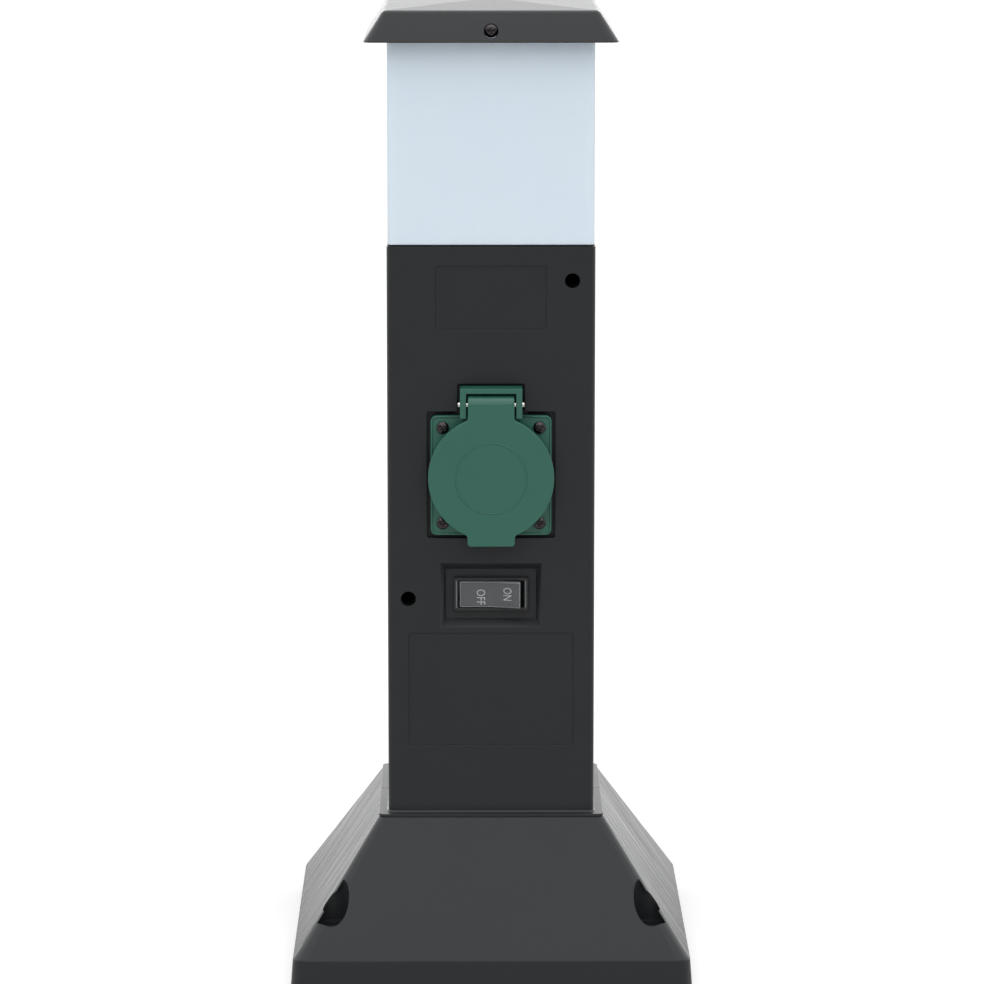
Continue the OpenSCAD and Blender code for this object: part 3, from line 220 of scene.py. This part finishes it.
def mouldedPlastic(name, look):
    # Spark-eroded mould grain, a slow drift of tone from the melt, and a satin that the grain breaks up
    material, tree, coords, surface = startMaterial(name, look)
    grain = addNode(tree, "ShaderNodeTexNoise", {
        "Vector": coords, "Scale": 1 / (look["grain"] * mm), "Detail": 3.0, "Roughness": 0.6})
    drift = addNode(tree, "ShaderNodeTexNoise", {
        "Vector": coords, "Scale": 1 / (look["drift"] * mm), "Detail": 2.0})
    gloss = dressSurface(tree, surface, look, drift.outputs["Fac"], grain.outputs["Fac"],
                         {**plasticWear, "bump": look["bump"]})
    surface.inputs["Specular IOR Level"].default_value = look.get("specular", 0.5)
    surface.inputs["IOR"].default_value = plasticIor
    if "streak" in look:
        drawMarks(tree, coords, surface, look["streak"], gloss)
    if "glow" in look:  # light that travels inside the wall
        surface.inputs["Subsurface Weight"].default_value = look["glow"]
        surface.inputs["Subsurface Radius"].default_value = (1.0, 1.0, 1.0)
        surface.inputs["Subsurface Scale"].default_value = look["glowDepth"] * mm
    if "coat" in look:
        surface.inputs["Coat Weight"].default_value = look["coat"]
        surface.inputs["Coat Roughness"].default_value = look["coatRough"]
    return material


def workedMetal(name, look):
    # Fine tool and plating marks along one direction, seen as streaks in the shine
    material, tree, coords, surface = startMaterial(name, look)
    stretch = addNode(tree, "ShaderNodeMapping", {
        "Vector": coords, "Scale": look.get("along", (1.0, 1.0, 1.0))})
    marks = addNode(tree, "ShaderNodeTexNoise", {
        "Vector": stretch.outputs[0], "Scale": 1 / (look["grain"] * mm), "Detail": 4.0})
    dressSurface(tree, surface, look, marks.outputs["Fac"], marks.outputs["Fac"], metalWear)
    surface.inputs["Metallic"].default_value = 1.0
    return material


def clearCover(name, look):
    # Soft see-through PVC: pale haze head on, a wet shine and slight ripples; towards grazing rims its pale
    # colour shows more, a painted sheen
    material, tree, coords, surface = startMaterial(name, look)
    ripple = addNode(tree, "ShaderNodeTexNoise", {
        "Vector": coords, "Scale": 1 / (look["ripple"] * mm), "Detail": 1.0})
    bump = addNode(tree, "ShaderNodeBump", {
        "Height": ripple.outputs["Fac"], "Strength": look["bump"],
        "Distance": look["ripple"] * mm * look["depth"]})
    rim = addNode(tree, "ShaderNodeFresnel", {"IOR": filmIor, "Normal": bump.outputs[0]})
    # coverage of the pale colour follows the Fresnel term: slight real haze head on, painted sheen at the
    # rims
    hazeAndRimSheen = addNode(tree, "ShaderNodeMapRange", {
        "Value": rim.outputs[0], "From Min": look["rim"][0], "From Max": look["rim"][1],
        "To Min": look["hazeToRimSheen"][0], "To Max": look["hazeToRimSheen"][1]})
    tree.links.new(bump.outputs[0], surface.inputs["Normal"])
    tree.links.new(hazeAndRimSheen.outputs[0], surface.inputs["Alpha"])
    surface.inputs["Base Color"].default_value = paint(look["colour"])
    surface.inputs["IOR"].default_value = filmIor
    return material


def stripedInsulation(name, look):
    # Earth lead: green with a yellow band that winds round it
    material, tree, coords, surface = startMaterial(name, look)
    band = addNode(tree, "ShaderNodeTexWave", {
        "Vector": coords, "Scale": 1 / (look["band"] * mm * fullTurn), "Distortion": look["waver"]},
        wave_type="BANDS", bands_direction="DIAGONAL")
    edge = addNode(tree, "ShaderNodeMapRange", {
        "Value": band.outputs["Fac"], "From Min": look["edge"][0], "From Max": look["edge"][1]})
    tone = addNode(tree, "ShaderNodeMix", {
        0: edge.outputs[0], 6: paint(look["colour"]), 7: paint(look["tone"])}, data_type="RGBA")
    tree.links.new(tone.outputs[2], surface.inputs["Base Color"])
    return material


finish = {
    "anthracite_plastic": mouldedPlastic("mouldedAnthraciteABS", {  # dull satin, barely grained
        "colour": "242628", "tone": "28292b", "rough": 0.38, "grain": 0.35, "drift": 38,
        "specular": 0.26, "bump": 0.2, "streak": 0.42}),
    "green_plastic": mouldedPlastic("mouldedGreenPolyamide", {  # fine satin, a little lighter in places
        "colour": "295f51", "tone": "2d6354", "rough": 0.34, "grain": 0.25, "drift": 16,
        "specular": 0.45, "bump": 0.2}),
    "opal_plastic": mouldedPlastic("opalAcrylic", {  # milky wall that light soaks into, smooth outside
        "colour": "ddedfe", "tone": "e1effd", "rough": 0.32, "grain": 2.5, "drift": 60, "bump": 0.04,
        "glow": 0.35, "glowDepth": 6.0}),
    "black_plastic": mouldedPlastic("mouldedBlackPolyamide", {  # deep black with a soft shine on its edges
        "colour": "1c1d1e", "tone": "212223", "rough": 0.4, "grain": 0.22, "drift": 12,
        "specular": 0.4, "bump": 0.2}),
    "grey_plastic": mouldedPlastic("satinGreyABS", {  # key of the switch, smooth and slightly glossy
        "colour": "303133", "tone": "343537", "rough": 0.35, "grain": 0.3, "drift": 9, "bump": 0.08}),
    "pale_plastic": mouldedPlastic("creamGlazedCeramic", {  # glazed holder and block, slightly uneven cream
        "colour": "d9d2bd", "tone": "cfc7b0", "rough": 0.25, "grain": 0.8, "drift": 7, "bump": 0.08,
        "coat": 0.4, "coatRough": 0.12}),
    "white_plastic": mouldedPlastic("whitePolycarbonate", {  # clean white with a soft shine
        "colour": "e4e4df", "tone": "dcdcd6", "rough": 0.38, "grain": 0.4, "drift": 10, "bump": 0.1}),
    "seal_rubber": mouldedPlastic("closedCellRubber", {  # dull black, pitted like foam
        "colour": "141414", "tone": "1b1b1b", "rough": 0.85, "grain": 0.5, "drift": 5,
        "specular": 0.25, "bump": 0.7}),
    "zinc_steel": workedMetal("zincPlatedSteel", {  # bluish bright grey with faint rolling marks
        "colour": "b4b8bc", "tone": "9a9ea3", "rough": 0.32, "grain": 0.6, "along": (1.0, 1.0, 0.3)}),
    "dark_screw": workedMetal("blackenedSteel", {  # near-black oxide that still glints on its rims
        "colour": "504b4d", "tone": "2f2c2d", "rough": 0.14, "grain": 0.4}),
    "pin_steel": workedMetal("drawnStainless", {  # bright drawn wire and pin, streaked along its length
        "colour": "d6d5d0", "tone": "bcbbb6", "rough": 0.18, "grain": 0.25, "along": (0.15, 1.0, 1.0)}),
    "brass_contact": workedMetal("rolledBrass", {  # warm yellow, dulled in patches
        "colour": "c9a25a", "tone": "a9823f", "rough": 0.3, "grain": 1.2}),
    "clear_boot": clearCover("clearSoftPVC", {  # thin film, clear head on with a little real haze; the pale colour thickening towards its rims is a painted sheen
        "colour": "c9ccd0", "rough": 0.16, "ripple": 1.5, "bump": 0.2, "depth": 0.1,
        "rim": (0.03, 0.4), "hazeToRimSheen": (0.08, 0.9)}),
    "milky_edge_sheen": mouldedPlastic("thickSoftPVCPaintedSheen", {  # rolled edge of the cover; its light grey is a painted highlight along the edge
        "colour": "8d9094", "tone": "86898d", "rough": 0.3, "grain": 0.5, "drift": 3, "bump": 0.1}),
    "folded_film_sheen": mouldedPlastic("foldedSoftPVCPaintedSheen", {  # the cover's film folded over black; its soft grey, darker than the bead's, is a painted highlight on the folds
        "colour": "6c6f73", "tone": "606367", "rough": 0.25, "grain": 0.5, "drift": 3, "bump": 0.1}),
    "brown_insulation": mouldedPlastic("brownPVC", {  # soft satin, nearly even
        "colour": "5a3826", "tone": "64402c", "rough": 0.42, "grain": 0.6, "drift": 6, "bump": 0.1}),
    "blue_insulation": mouldedPlastic("bluePVC", {  # soft satin, nearly even
        "colour": "2450a0", "tone": "2b5ab0", "rough": 0.42, "grain": 0.6, "drift": 6, "bump": 0.1}),
    "black_insulation": mouldedPlastic("blackPVC", {  # soft satin, nearly even
        "colour": "1d1d1f", "tone": "242426", "rough": 0.42, "grain": 0.6, "drift": 6, "bump": 0.1}),
    "earth_insulation": stripedInsulation("greenYellowPVC", {  # two colours in one sleeve, with soft edges
        "colour": "2f8a3a", "tone": "d9c832", "rough": 0.42, "band": 1.4, "waver": 0.4,
        "edge": (0.45, 0.55)}),
    "switch_ink": mouldedPlastic("greyPadInk", {  # thin matt print, mottled where the pad lifted
        "colour": "ececee", "tone": "dcdcde", "rough": 0.6, "grain": 0.3, "drift": 1.5, "bump": 0.2}),
}

slotOf = {row["node"]: row["material_slot"] for row in frame["record"]["subparts"]}
bodyOf = {}
for bodyName, members in frame["record"]["behaviour"]["bodies"].items():
    bodyOf.update({nodeName: bodyName for nodeName in members})
for nodeName, thing in cad.items():
    thing.data.materials.clear()
    thing.data.materials.append(finish[slotOf[nodeName]])
print("materials:", len(finish))


# moulded shells: each CAD form with the soft edges that a mould leaves
merge = {"shell": 0.03, "box": 0.01}  # vertices closer than this are one, in mm
flatBelow = 0.6  # degrees between faces that count as one flat face
edgeFrom = 28  # degrees between faces where a rounded edge starts


def settle(thing, nodeNames, bodyName):
    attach(thing, bodyName)
    if nodeNames:
        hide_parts(*nodeNames)
    return thing


def linkMesh(name, mesh):
    thing = bpy.data.objects.new(name, mesh)
    bpy.context.scene.collection.objects.link(thing)
    return thing


def bakeModifiers(thing, name):
    bpy.context.view_layer.update()
    graph = bpy.context.evaluated_depsgraph_get()
    evaluated = thing.evaluated_get(graph)
    mesh = bpy.data.meshes.new_from_object(evaluated, preserve_all_data_layers=True, depsgraph=graph)
    mesh.name = name
    bpy.data.objects.remove(thing)
    return mesh


def keepsSharp(edge, look):  # edges in the crisp box, in mm and the same on all four sides, were cut later
    if "crisp" not in look:
        return False
    low, high = look["crisp"]
    return all(low[axis] <= abs(vertex.co[axis]) / mm <= high[axis]
               for vertex in edge.verts for axis in range(3))


def softenForm(form, look):
    bmesh.ops.remove_doubles(form, verts=form.verts, dist=merge["shell"] * mm)
    if "cut" in look:  # takes away what is made separately, and closes the ring that it leaves
        place, facing = look["cut"]
        bmesh.ops.bisect_plane(form, geom=form.verts[:] + form.edges[:] + form.faces[:],
                               plane_co=Vector(place) * mm, plane_no=facing, clear_outer=True)
        bmesh.ops.bridge_loops(form, edges=[edge for edge in form.edges if edge.is_boundary])
    bmesh.ops.dissolve_limit(form, angle_limit=math.radians(flatBelow), verts=form.verts, edges=form.edges)
    if "shrink" in look:  # stands a hair back from what lies on it
        form.normal_update()
        for vertex, step in [(v, v.normal * look["shrink"] * mm) for v in form.verts]:
            vertex.co -= step
    bmesh.ops.connect_verts_concave(form, faces=form.faces[:])
    form.normal_update()
    weight = form.edges.layers.float.new("bevel_weight_edge")
    for edge in form.edges:
        if len(edge.link_faces) == 2 and edge.calc_face_angle(0) > math.radians(edgeFrom):
            rounded = edge.is_convex and not keepsSharp(edge, look)  # inner corners stay sharp
            edge[weight] = float(rounded)
            edge.smooth = rounded
    for face in form.faces:
        face.smooth = True


def softShell(name, look):
    nodeName = look["node"]
    form = bmesh.new()
    form.from_mesh(cad[nodeName].data)
    softenForm(form, look)
    mesh = bpy.data.meshes.new(name)
    form.to_mesh(mesh)
    form.free()
    thing = linkMesh(name + "Rough", mesh)
    thing.data.materials.append(finish[slotOf[nodeName]])
    bevel = thing.modifiers.new("mouldedEdge", "BEVEL")
    bevel.width = look["edge"] * mm
    bevel.segments = look.get("steps", 2)
    bevel.limit_method = "WEIGHT"
    bevel.use_clamp_overlap = False
    bevel.loop_slide = False
    even = thing.modifiers.new("evenShading", "WEIGHTED_NORMAL")
    even.keep_sharp = True
    shell = linkMesh(name, bakeModifiers(thing, name))
    return settle(shell, [nodeName], bodyOf[nodeName])


shells = {
    "footMoulding": {"node": "base_shell", "edge": 0.45, "crisp": ((52, 48, 19), (80, 80, 62))},
    "columnFrontMoulding": {"node": "column_front", "edge": 0.25},
    "columnRearMoulding": {"node": "column_rear", "edge": 0.25},
    "opalShadeMoulding": {"node": "opal_shade", "edge": 0.5},
    "capMoulding": {"node": "cap", "edge": 0.3},
    "socketFrame": {"node": "socket_flange", "edge": 0.3},
    "lidMoulding": {"node": "socket_lid", "edge": 0.5, "steps": 3, "cut": ((0, -52.505, 0), (0, -1, 0))},
    "switchCase": {"node": "switch_body", "edge": 0.25},
    "switchKey": {"node": "switch_rocker", "edge": 0.35, "shrink": 0.08},
    "switchCover": {"node": "switch_boot", "edge": 0.3, "steps": 3},
    "hingePin": {"node": "lid_pin", "edge": 0.3},
    "socketCore": {"node": "socket_insert", "edge": 0.2},
    "shutterDisc": {"node": "socket_shutter", "edge": 0.12},
    "earthStrip": {"node": "earth_bow", "edge": 0.12},
    "pinSleeves": {"node": "contact_sleeves", "edge": 0.1},
    "lidGasket": {"node": "lid_seal", "edge": 0.2},
    "frameGasket": {"node": "socket_gasket", "edge": 0.15},
    "collarSeal": {"node": "shade_seal", "edge": 0.15},
    "glandBarrel": {"node": "gland_body", "edge": 0.4},
    "glandNut": {"node": "gland_locknut", "edge": 0.4},
    "glandCap": {"node": "gland_dome_nut", "edge": 0.4},
    "glandRing": {"node": "gland_seal", "edge": 0.2},
    "terminalBar": {"node": "terminal_block", "edge": 0.25},
    "terminalCages": {"node": "terminal_clamps", "edge": 0.12},
    "lampStrap": {"node": "lamp_bracket", "edge": 0.2},
    "holderBody": {"node": "lampholder_body", "edge": 0.35},
    "bulbCase": {"node": "lamp_housing", "edge": 0.25},
    "pushConnectors": {"node": "spade_connectors", "edge": 0.08},
    "switchTabs": {"node": "switch_terminals", "edge": 0.08},
    "switchBlade": {"node": "contact_blade", "edge": 0.06},
    "switchPlunger": {"node": "switch_plunger", "edge": 0.12},
}
for shellName, shellLook in shells.items():
    softShell(shellName, shellLook)
print("shells:", len(shells))


# cross-head screws: one made per set, then set out with a node group
def lathe(form, profile, steps=40):  # (radius, height) points turned round Z; a radius of 0 closes the end
    rings = []
    for radius, height in profile:
        if radius == 0:
            rings.append([form.verts.new((0, 0, height * mm))])
            continue
        angles = [math.tau * k / steps for k in range(steps)]
        rings.append([form.verts.new((radius * mm * math.cos(a), radius * mm * math.sin(a), height * mm))
                      for a in angles])
    for low, high in zip(rings, rings[1:]):
        for k in range(steps):
            n = (k + 1) % steps
            if len(low) == 1:
                form.faces.new((low[0], high[n], high[k]))
            elif len(high) == 1:
                form.faces.new((low[k], low[n], high[0]))
            else:
                form.faces.new((low[k], low[n], high[n], high[k]))
    bmesh.ops.recalc_face_normals(form, faces=form.faces)


def meshFrom(form, name, material, smoothBelow=40):
    for face in form.faces:
        face.smooth = True
    for edge in form.edges:
        if len(edge.link_faces) == 2 and edge.calc_face_angle(0) > math.radians(smoothBelow):
            edge.smooth = False
    mesh = bpy.data.meshes.new(name)
    form.to_mesh(mesh)
    form.free()
    mesh.materials.append(material)
    return mesh


# rim and dome are shares of the head's rise, foot is a share of its radius, angles are degrees up the dome
screwHead = {"rim": 0.3, "dome": 0.7, "foot": 0.97, "angles": (72, 54, 38, 22, 10, 0)}
# start and blank are in mm, core is a share of the shank, tip is a share of the pitch
screwThread = {"start": 0.5, "blank": 1.2, "core": 0.8, "tip": 0.8}
# arm and width are shares of the head's radius, lift is a share of its rise, taper is what is left below
driverCross = {"arm": 1.2, "width": 0.24, "lift": 0.75, "taper": 0.5}


def screwProfile(look):
    r, h, shank, pitch, length = look["head"], look["rise"], look["shank"], look["pitch"], look["length"]
    core = shank * screwThread["core"]
    dome = []
    for degrees in screwHead["angles"]:
        a = math.radians(degrees)
        dome.append((r * math.cos(a), h * (screwHead["rim"] + screwHead["dome"] * math.sin(a))))
    thread = []
    for turn in range(int((length - screwThread["blank"]) / pitch)):
        top = -screwThread["start"] - turn * pitch
        thread += [(shank, top), (core, top - pitch * 0.5)]
    end = [(core, -length + pitch * screwThread["tip"]), (shank * look["point"], -length), (0, -length)]
    return [(0, h)] + dome + [(r * screwHead["foot"], 0), (shank, 0)] + thread + end


def crossScrew(name, look):
    r, h, metal = look["head"], look["rise"], finish[look["finish"]]
    form = bmesh.new()
    lathe(form, screwProfile(look))
    head = linkMesh(name + "Solid", meshFrom(form, name + "Solid", metal))
    form = bmesh.new()
    lift = Matrix.Translation((0, 0, h * driverCross["lift"] * mm))
    arm = Matrix.Diagonal((r * driverCross["arm"] * mm, r * driverCross["width"] * mm, h * mm, 1))
    for angle in (0, 90):  # tapering cross of the driver
        turn = Matrix.Rotation(math.radians(angle), 4, "Z")
        bmesh.ops.create_cube(form, size=1.0, matrix=turn @ lift @ arm)
    for vertex in form.verts:
        if vertex.co.z < h * 0.5 * mm:
            vertex.co.x *= driverCross["taper"]
            vertex.co.y *= driverCross["taper"]
    cutter = linkMesh(name + "Driver", meshFrom(form, name + "Driver", metal))
    slot = head.modifiers.new("driverSlot", "BOOLEAN")
    slot.object = cutter
    slot.solver = "EXACT"
    slot.use_self = True
    mesh = bakeModifiers(head, name)
    bpy.data.objects.remove(cutter)
    return linkMesh(name, mesh)


def makeRepeater():
    group = bpy.data.node_groups.new("setOutPieces", "GeometryNodeTree")
    wanted = {"Places": "NodeSocketGeometry", "Piece": "NodeSocketObject", "Material": "NodeSocketMaterial"}
    for label, kind in wanted.items():
        group.interface.new_socket(label, in_out="INPUT", socket_type=kind)
    group.interface.new_socket("Pieces", in_out="OUTPUT", socket_type="NodeSocketGeometry")
    given = addNode(group, "NodeGroupInput").outputs
    piece = addNode(group, "GeometryNodeObjectInfo", {"Object": given["Piece"]}, transform_space="ORIGINAL")
    turn = addNode(group, "GeometryNodeInputNamedAttribute", {"Name": "turn"}, data_type="FLOAT_VECTOR")
    placed = addNode(group, "GeometryNodeInstanceOnPoints", {
        "Points": given["Places"], "Instance": piece.outputs["Geometry"],
        "Rotation": turn.outputs["Attribute"]})
    solid = addNode(group, "GeometryNodeRealizeInstances", {"Geometry": placed.outputs["Instances"]})
    dressed = addNode(group, "GeometryNodeSetMaterial", {
        "Geometry": solid.outputs["Geometry"], "Material": given["Material"]})
    addNode(group, "NodeGroupOutput", {"Pieces": dressed.outputs["Geometry"]})
    return group


repeater = makeRepeater()


def looseParts(mesh):  # boxes of the separate solids in a CAD mesh, in mm
    form = bmesh.new()
    form.from_mesh(mesh)
    bmesh.ops.remove_doubles(form, verts=form.verts, dist=merge["box"] * mm)
    left, boxes = set(form.verts), []
    while left:
        group, waiting = set(), [next(iter(left))]
        while waiting:
            vertex = waiting.pop()
            if vertex not in group:
                group.add(vertex)
                waiting += [link.other_vert(vertex) for link in vertex.link_edges]
        left -= group
        boxes.append([[pick(v.co[axis] for v in group) / mm for axis in range(3)] for pick in (min, max)])
    form.free()
    return sorted(boxes)


stoppedAt = {"first": 12, "step": 37}  # degrees where each screw's cross happened to stop


def setOut(name, look):  # one screw for every screw of the CAD node
    axis, side = look["facing"]
    across = (axis + 1) % 3
    places, turned = [], []
    for number, (low, high) in enumerate(looseParts(cad[look["node"]].data)):
        middle = [(low[k] + high[k]) / 2 for k in range(3)]
        outward = [0, 0, 0]
        outward[axis] = side or (1 if middle[axis] > 0 else -1)
        middle[axis] = high[axis] - look["rise"] if outward[axis] > 0 else low[axis] + look["rise"]
        size = {"head": (high[across] - low[across]) / 2, "length": high[axis] - low[axis] - look["rise"]}
        places.append(Vector(middle) * mm)
        stop = math.radians(stoppedAt["first"] + stoppedAt["step"] * number)
        twist = Matrix.Rotation(stop, 3, "Z").to_quaternion()
        turned.append((Vector(outward).to_track_quat("Z", "Y") @ twist).to_euler())
    mesh = bpy.data.meshes.new(name + "Places")
    mesh.from_pydata(places, [], [])
    for row, angles in zip(mesh.attributes.new("turn", "FLOAT_VECTOR", "POINT").data, turned):
        row.vector = angles
    sample = crossScrew(name + "Sample", {**look, **size})
    holder = linkMesh(name + "Holder", mesh)
    repeat = holder.modifiers.new("setOut", "NODES")
    repeat.node_group = repeater
    sockets = {item.name: item.identifier for item in repeater.interface.items_tree if item.in_out == "INPUT"}
    repeat[sockets["Piece"]] = sample
    repeat[sockets["Material"]] = finish[look["finish"]]
    result = bakeModifiers(holder, name)
    bpy.data.objects.remove(sample)
    return settle(linkMesh(name, result), [look["node"]], bodyOf[look["node"]])


sharpPoint, bluntPoint = 0.15, 0.6  # share of the shank that is left at the tip
screwSets = {  # facing: axis and side that the head faces, 0 for outward on both sides
    "flangeScrews": {"node": "flange_screws", "finish": "dark_screw", "facing": (1, -1),
                     "rise": 1.7, "shank": 1.45, "pitch": 1.0, "point": sharpPoint},
    "capScrews": {"node": "cap_screws", "finish": "dark_screw", "facing": (1, 0),
                  "rise": 1.9, "shank": 1.45, "pitch": 1.0, "point": sharpPoint},
    "columnScrews": {"node": "column_screws", "finish": "zinc_steel", "facing": (1, -1),
                     "rise": 2.4, "shank": 1.75, "pitch": 1.4, "point": sharpPoint},
    "footScrews": {"node": "foot_screws", "finish": "zinc_steel", "facing": (2, -1),
                   "rise": 2.6, "shank": 2.0, "pitch": 1.4, "point": sharpPoint},
    "insertScrew": {"node": "insert_screw", "finish": "zinc_steel", "facing": (1, -1),
                    "rise": 1.2, "shank": 1.25, "pitch": 1.0, "point": sharpPoint},
    "terminalScrews": {"node": "terminal_screws", "finish": "zinc_steel", "facing": (1, 1),
                       "rise": 1.5, "shank": 1.2, "pitch": 0.5, "point": bluntPoint},
    "bracketScrews": {"node": "bracket_screws", "finish": "zinc_steel", "facing": (2, 1),
                      "rise": 2.2, "shank": 1.5, "pitch": 0.9, "point": sharpPoint},
    "holderScrews": {"node": "lampholder_screws", "finish": "zinc_steel", "facing": (2, 1),
                     "rise": 2.2, "shank": 1.5, "pitch": 0.5, "point": bluntPoint},
    "clampScrews": {"node": "clamp_screws", "finish": "zinc_steel", "facing": (1, -1),
                    "rise": 1.6, "shank": 1.2, "pitch": 0.5, "point": bluntPoint},
    "blockScrews": {"node": "block_screws", "finish": "zinc_steel", "facing": (1, -1),
                    "rise": 1.6, "shank": 1.3, "pitch": 0.9, "point": sharpPoint},
}
for setName, setLook in screwSets.items():
    setOut(setName, setLook)
print("screws:", len(screwSets))


# lid ring, words on the rocker, and the edges of its cover
plainRing = {"radius": 15.0, "width": 0.55, "rise": 0.28, "root": 0.15, "place": (0, -52.5, 209),
             "arcSteps": 8, "steps": 120}


def lidRing(look):
    form = bmesh.new()
    r, half, h, low = look["radius"], look["width"] / 2, look["rise"], look["root"]
    arc = [math.pi * k / look["arcSteps"] for k in range(look["arcSteps"] + 1)]
    crown = [(r - half - half * math.cos(a), h * math.sin(a)) for a in arc]
    lathe(form, [(r - look["width"], -low)] + crown + [(r, -low)], steps=look["steps"])
    turned = Matrix.Translation(Vector(look["place"]) * mm) @ Matrix.Rotation(math.pi / 2, 4, "X")
    bmesh.ops.transform(form, matrix=turned, verts=form.verts)
    bmesh.ops.recalc_face_normals(form, faces=form.faces)
    ring = linkMesh("lidRing", meshFrom(form, "lidRing", finish["green_plastic"], smoothBelow=60))
    return settle(ring, [], "lid")


lidRing(plainRing)


def printedWord(name, look):
    curve = bpy.data.curves.new(name, "FONT")
    curve.body = look["word"]
    curve.size = look["size"] * mm
    curve.align_x = "CENTER"
    curve.align_y = "CENTER"
    curve.extrude = look["thick"] * mm
    curve.space_character = look["spacing"]
    rough = bpy.data.objects.new(name + "Rough", curve)
    bpy.context.scene.collection.objects.link(rough)
    mesh = bakeModifiers(rough, name)
    place = Matrix.Translation(Vector(look["place"]) * mm)
    tilt = Matrix.Rotation(math.radians(look["tilt"]), 4, "Z")
    upright, downward = Matrix.Rotation(math.pi / 2, 4, "X"), Matrix.Rotation(-math.pi / 2, 4, "Z")
    mesh.transform(place @ tilt @ upright @ downward @ Matrix.Diagonal((look["narrow"], 1, 1, 1)))
    mesh.materials.clear()
    mesh.materials.append(finish["switch_ink"])
    return settle(linkMesh(name, mesh), [], "rocker")


switchWords = {  # on the two faces of the key, reading downwards
    "offWord": {"word": "OFF", "narrow": 0.74, "place": (-4.4, -40.742, 157.1), "tilt": 0.0},
    "onWord": {"word": "ON", "narrow": 0.7, "place": (6.6, -42.748, 158.6), "tilt": -16.26},
}
for wordName, wordLook in switchWords.items():
    printedWord(wordName, {"size": 5.1, "thick": 0.02, "spacing": 1.02, **wordLook})


def coverBead(look):  # thicker edge round the film of the cover, a real bead whose light grey colour is a painted highlight
    form = bmesh.new()
    r, steps, path = look["radius"], look["steps"], [Vector(point) for point in look["path"]]
    rings = []
    for k, point in enumerate(path):
        before = (point - path[k - 1]).normalized()
        after = (path[(k + 1) % len(path)] - point).normalized()
        along = (before + after).normalized()
        outward = along.cross(Vector(look["facing"])).normalized()
        up = outward.cross(along)
        stretch = 1 / max(look["cornerLimit"], along.dot(after))  # keeps the bead's width round a corner
        ring = []
        for j in range(steps):
            a = math.tau * j / steps
            spot = point + outward * r * stretch * math.cos(a) + up * r * math.sin(a)
            ring.append(form.verts.new(spot * mm))
        rings.append(ring)
    for k, ring in enumerate(rings):
        following = rings[(k + 1) % len(rings)]
        for j in range(steps):
            n = (j + 1) % steps
            form.faces.new((ring[j], ring[n], following[n], following[j]))
    bmesh.ops.recalc_face_normals(form, faces=form.faces)
    # the bead's light grey material is a painted highlight along the cover's edges
    bead = linkMesh("coverBead", meshFrom(form, "coverBead", finish["milky_edge_sheen"], smoothBelow=70))
    return settle(bead, [], "rocker")


coverBead({"radius": 0.15, "steps": 8, "facing": (0, -1, 0), "cornerLimit": 0.5, "path": [
    (-12.75, -41.0, 153.15), (-0.6, -41.05, 153.15), (11.95, -44.3, 153.15),
    (11.95, -44.3, 163.45), (-0.6, -41.05, 163.45), (-12.75, -41.0, 163.45)]})


def coverEnds(look):  # clamped ends of the cover on the case; the light their folded film catches is painted into their grey
    form = bmesh.new()
    r, half = look["radius"], look["length"] / 2
    tip = [(0, half), (r * look["nose"][0], half - r * look["nose"][1]), (r, half - r)]
    bar = [(radius, -height) for radius, height in tip] + tip[::-1]
    for place in look["places"]:
        earlier = set(form.verts)
        lathe(form, bar, steps=look["steps"])
        fresh = [vertex for vertex in form.verts if vertex not in earlier]
        bmesh.ops.translate(form, verts=fresh, vec=Vector(place) * mm)
    # the grey of these ends is a painted highlight, not their own colour
    ends = linkMesh("coverEnds", meshFrom(form, "coverEnds", finish["folded_film_sheen"], smoothBelow=70))
    return settle(ends, [], "housing")


coverEnds({"radius": 0.3, "length": 11.6, "nose": (0.7, 0.3), "steps": 12,
           "places": [(-14.4, -41.15, 158.3), (14.4, -41.15, 158.3)]})
print("lid ring, words and cover edges")
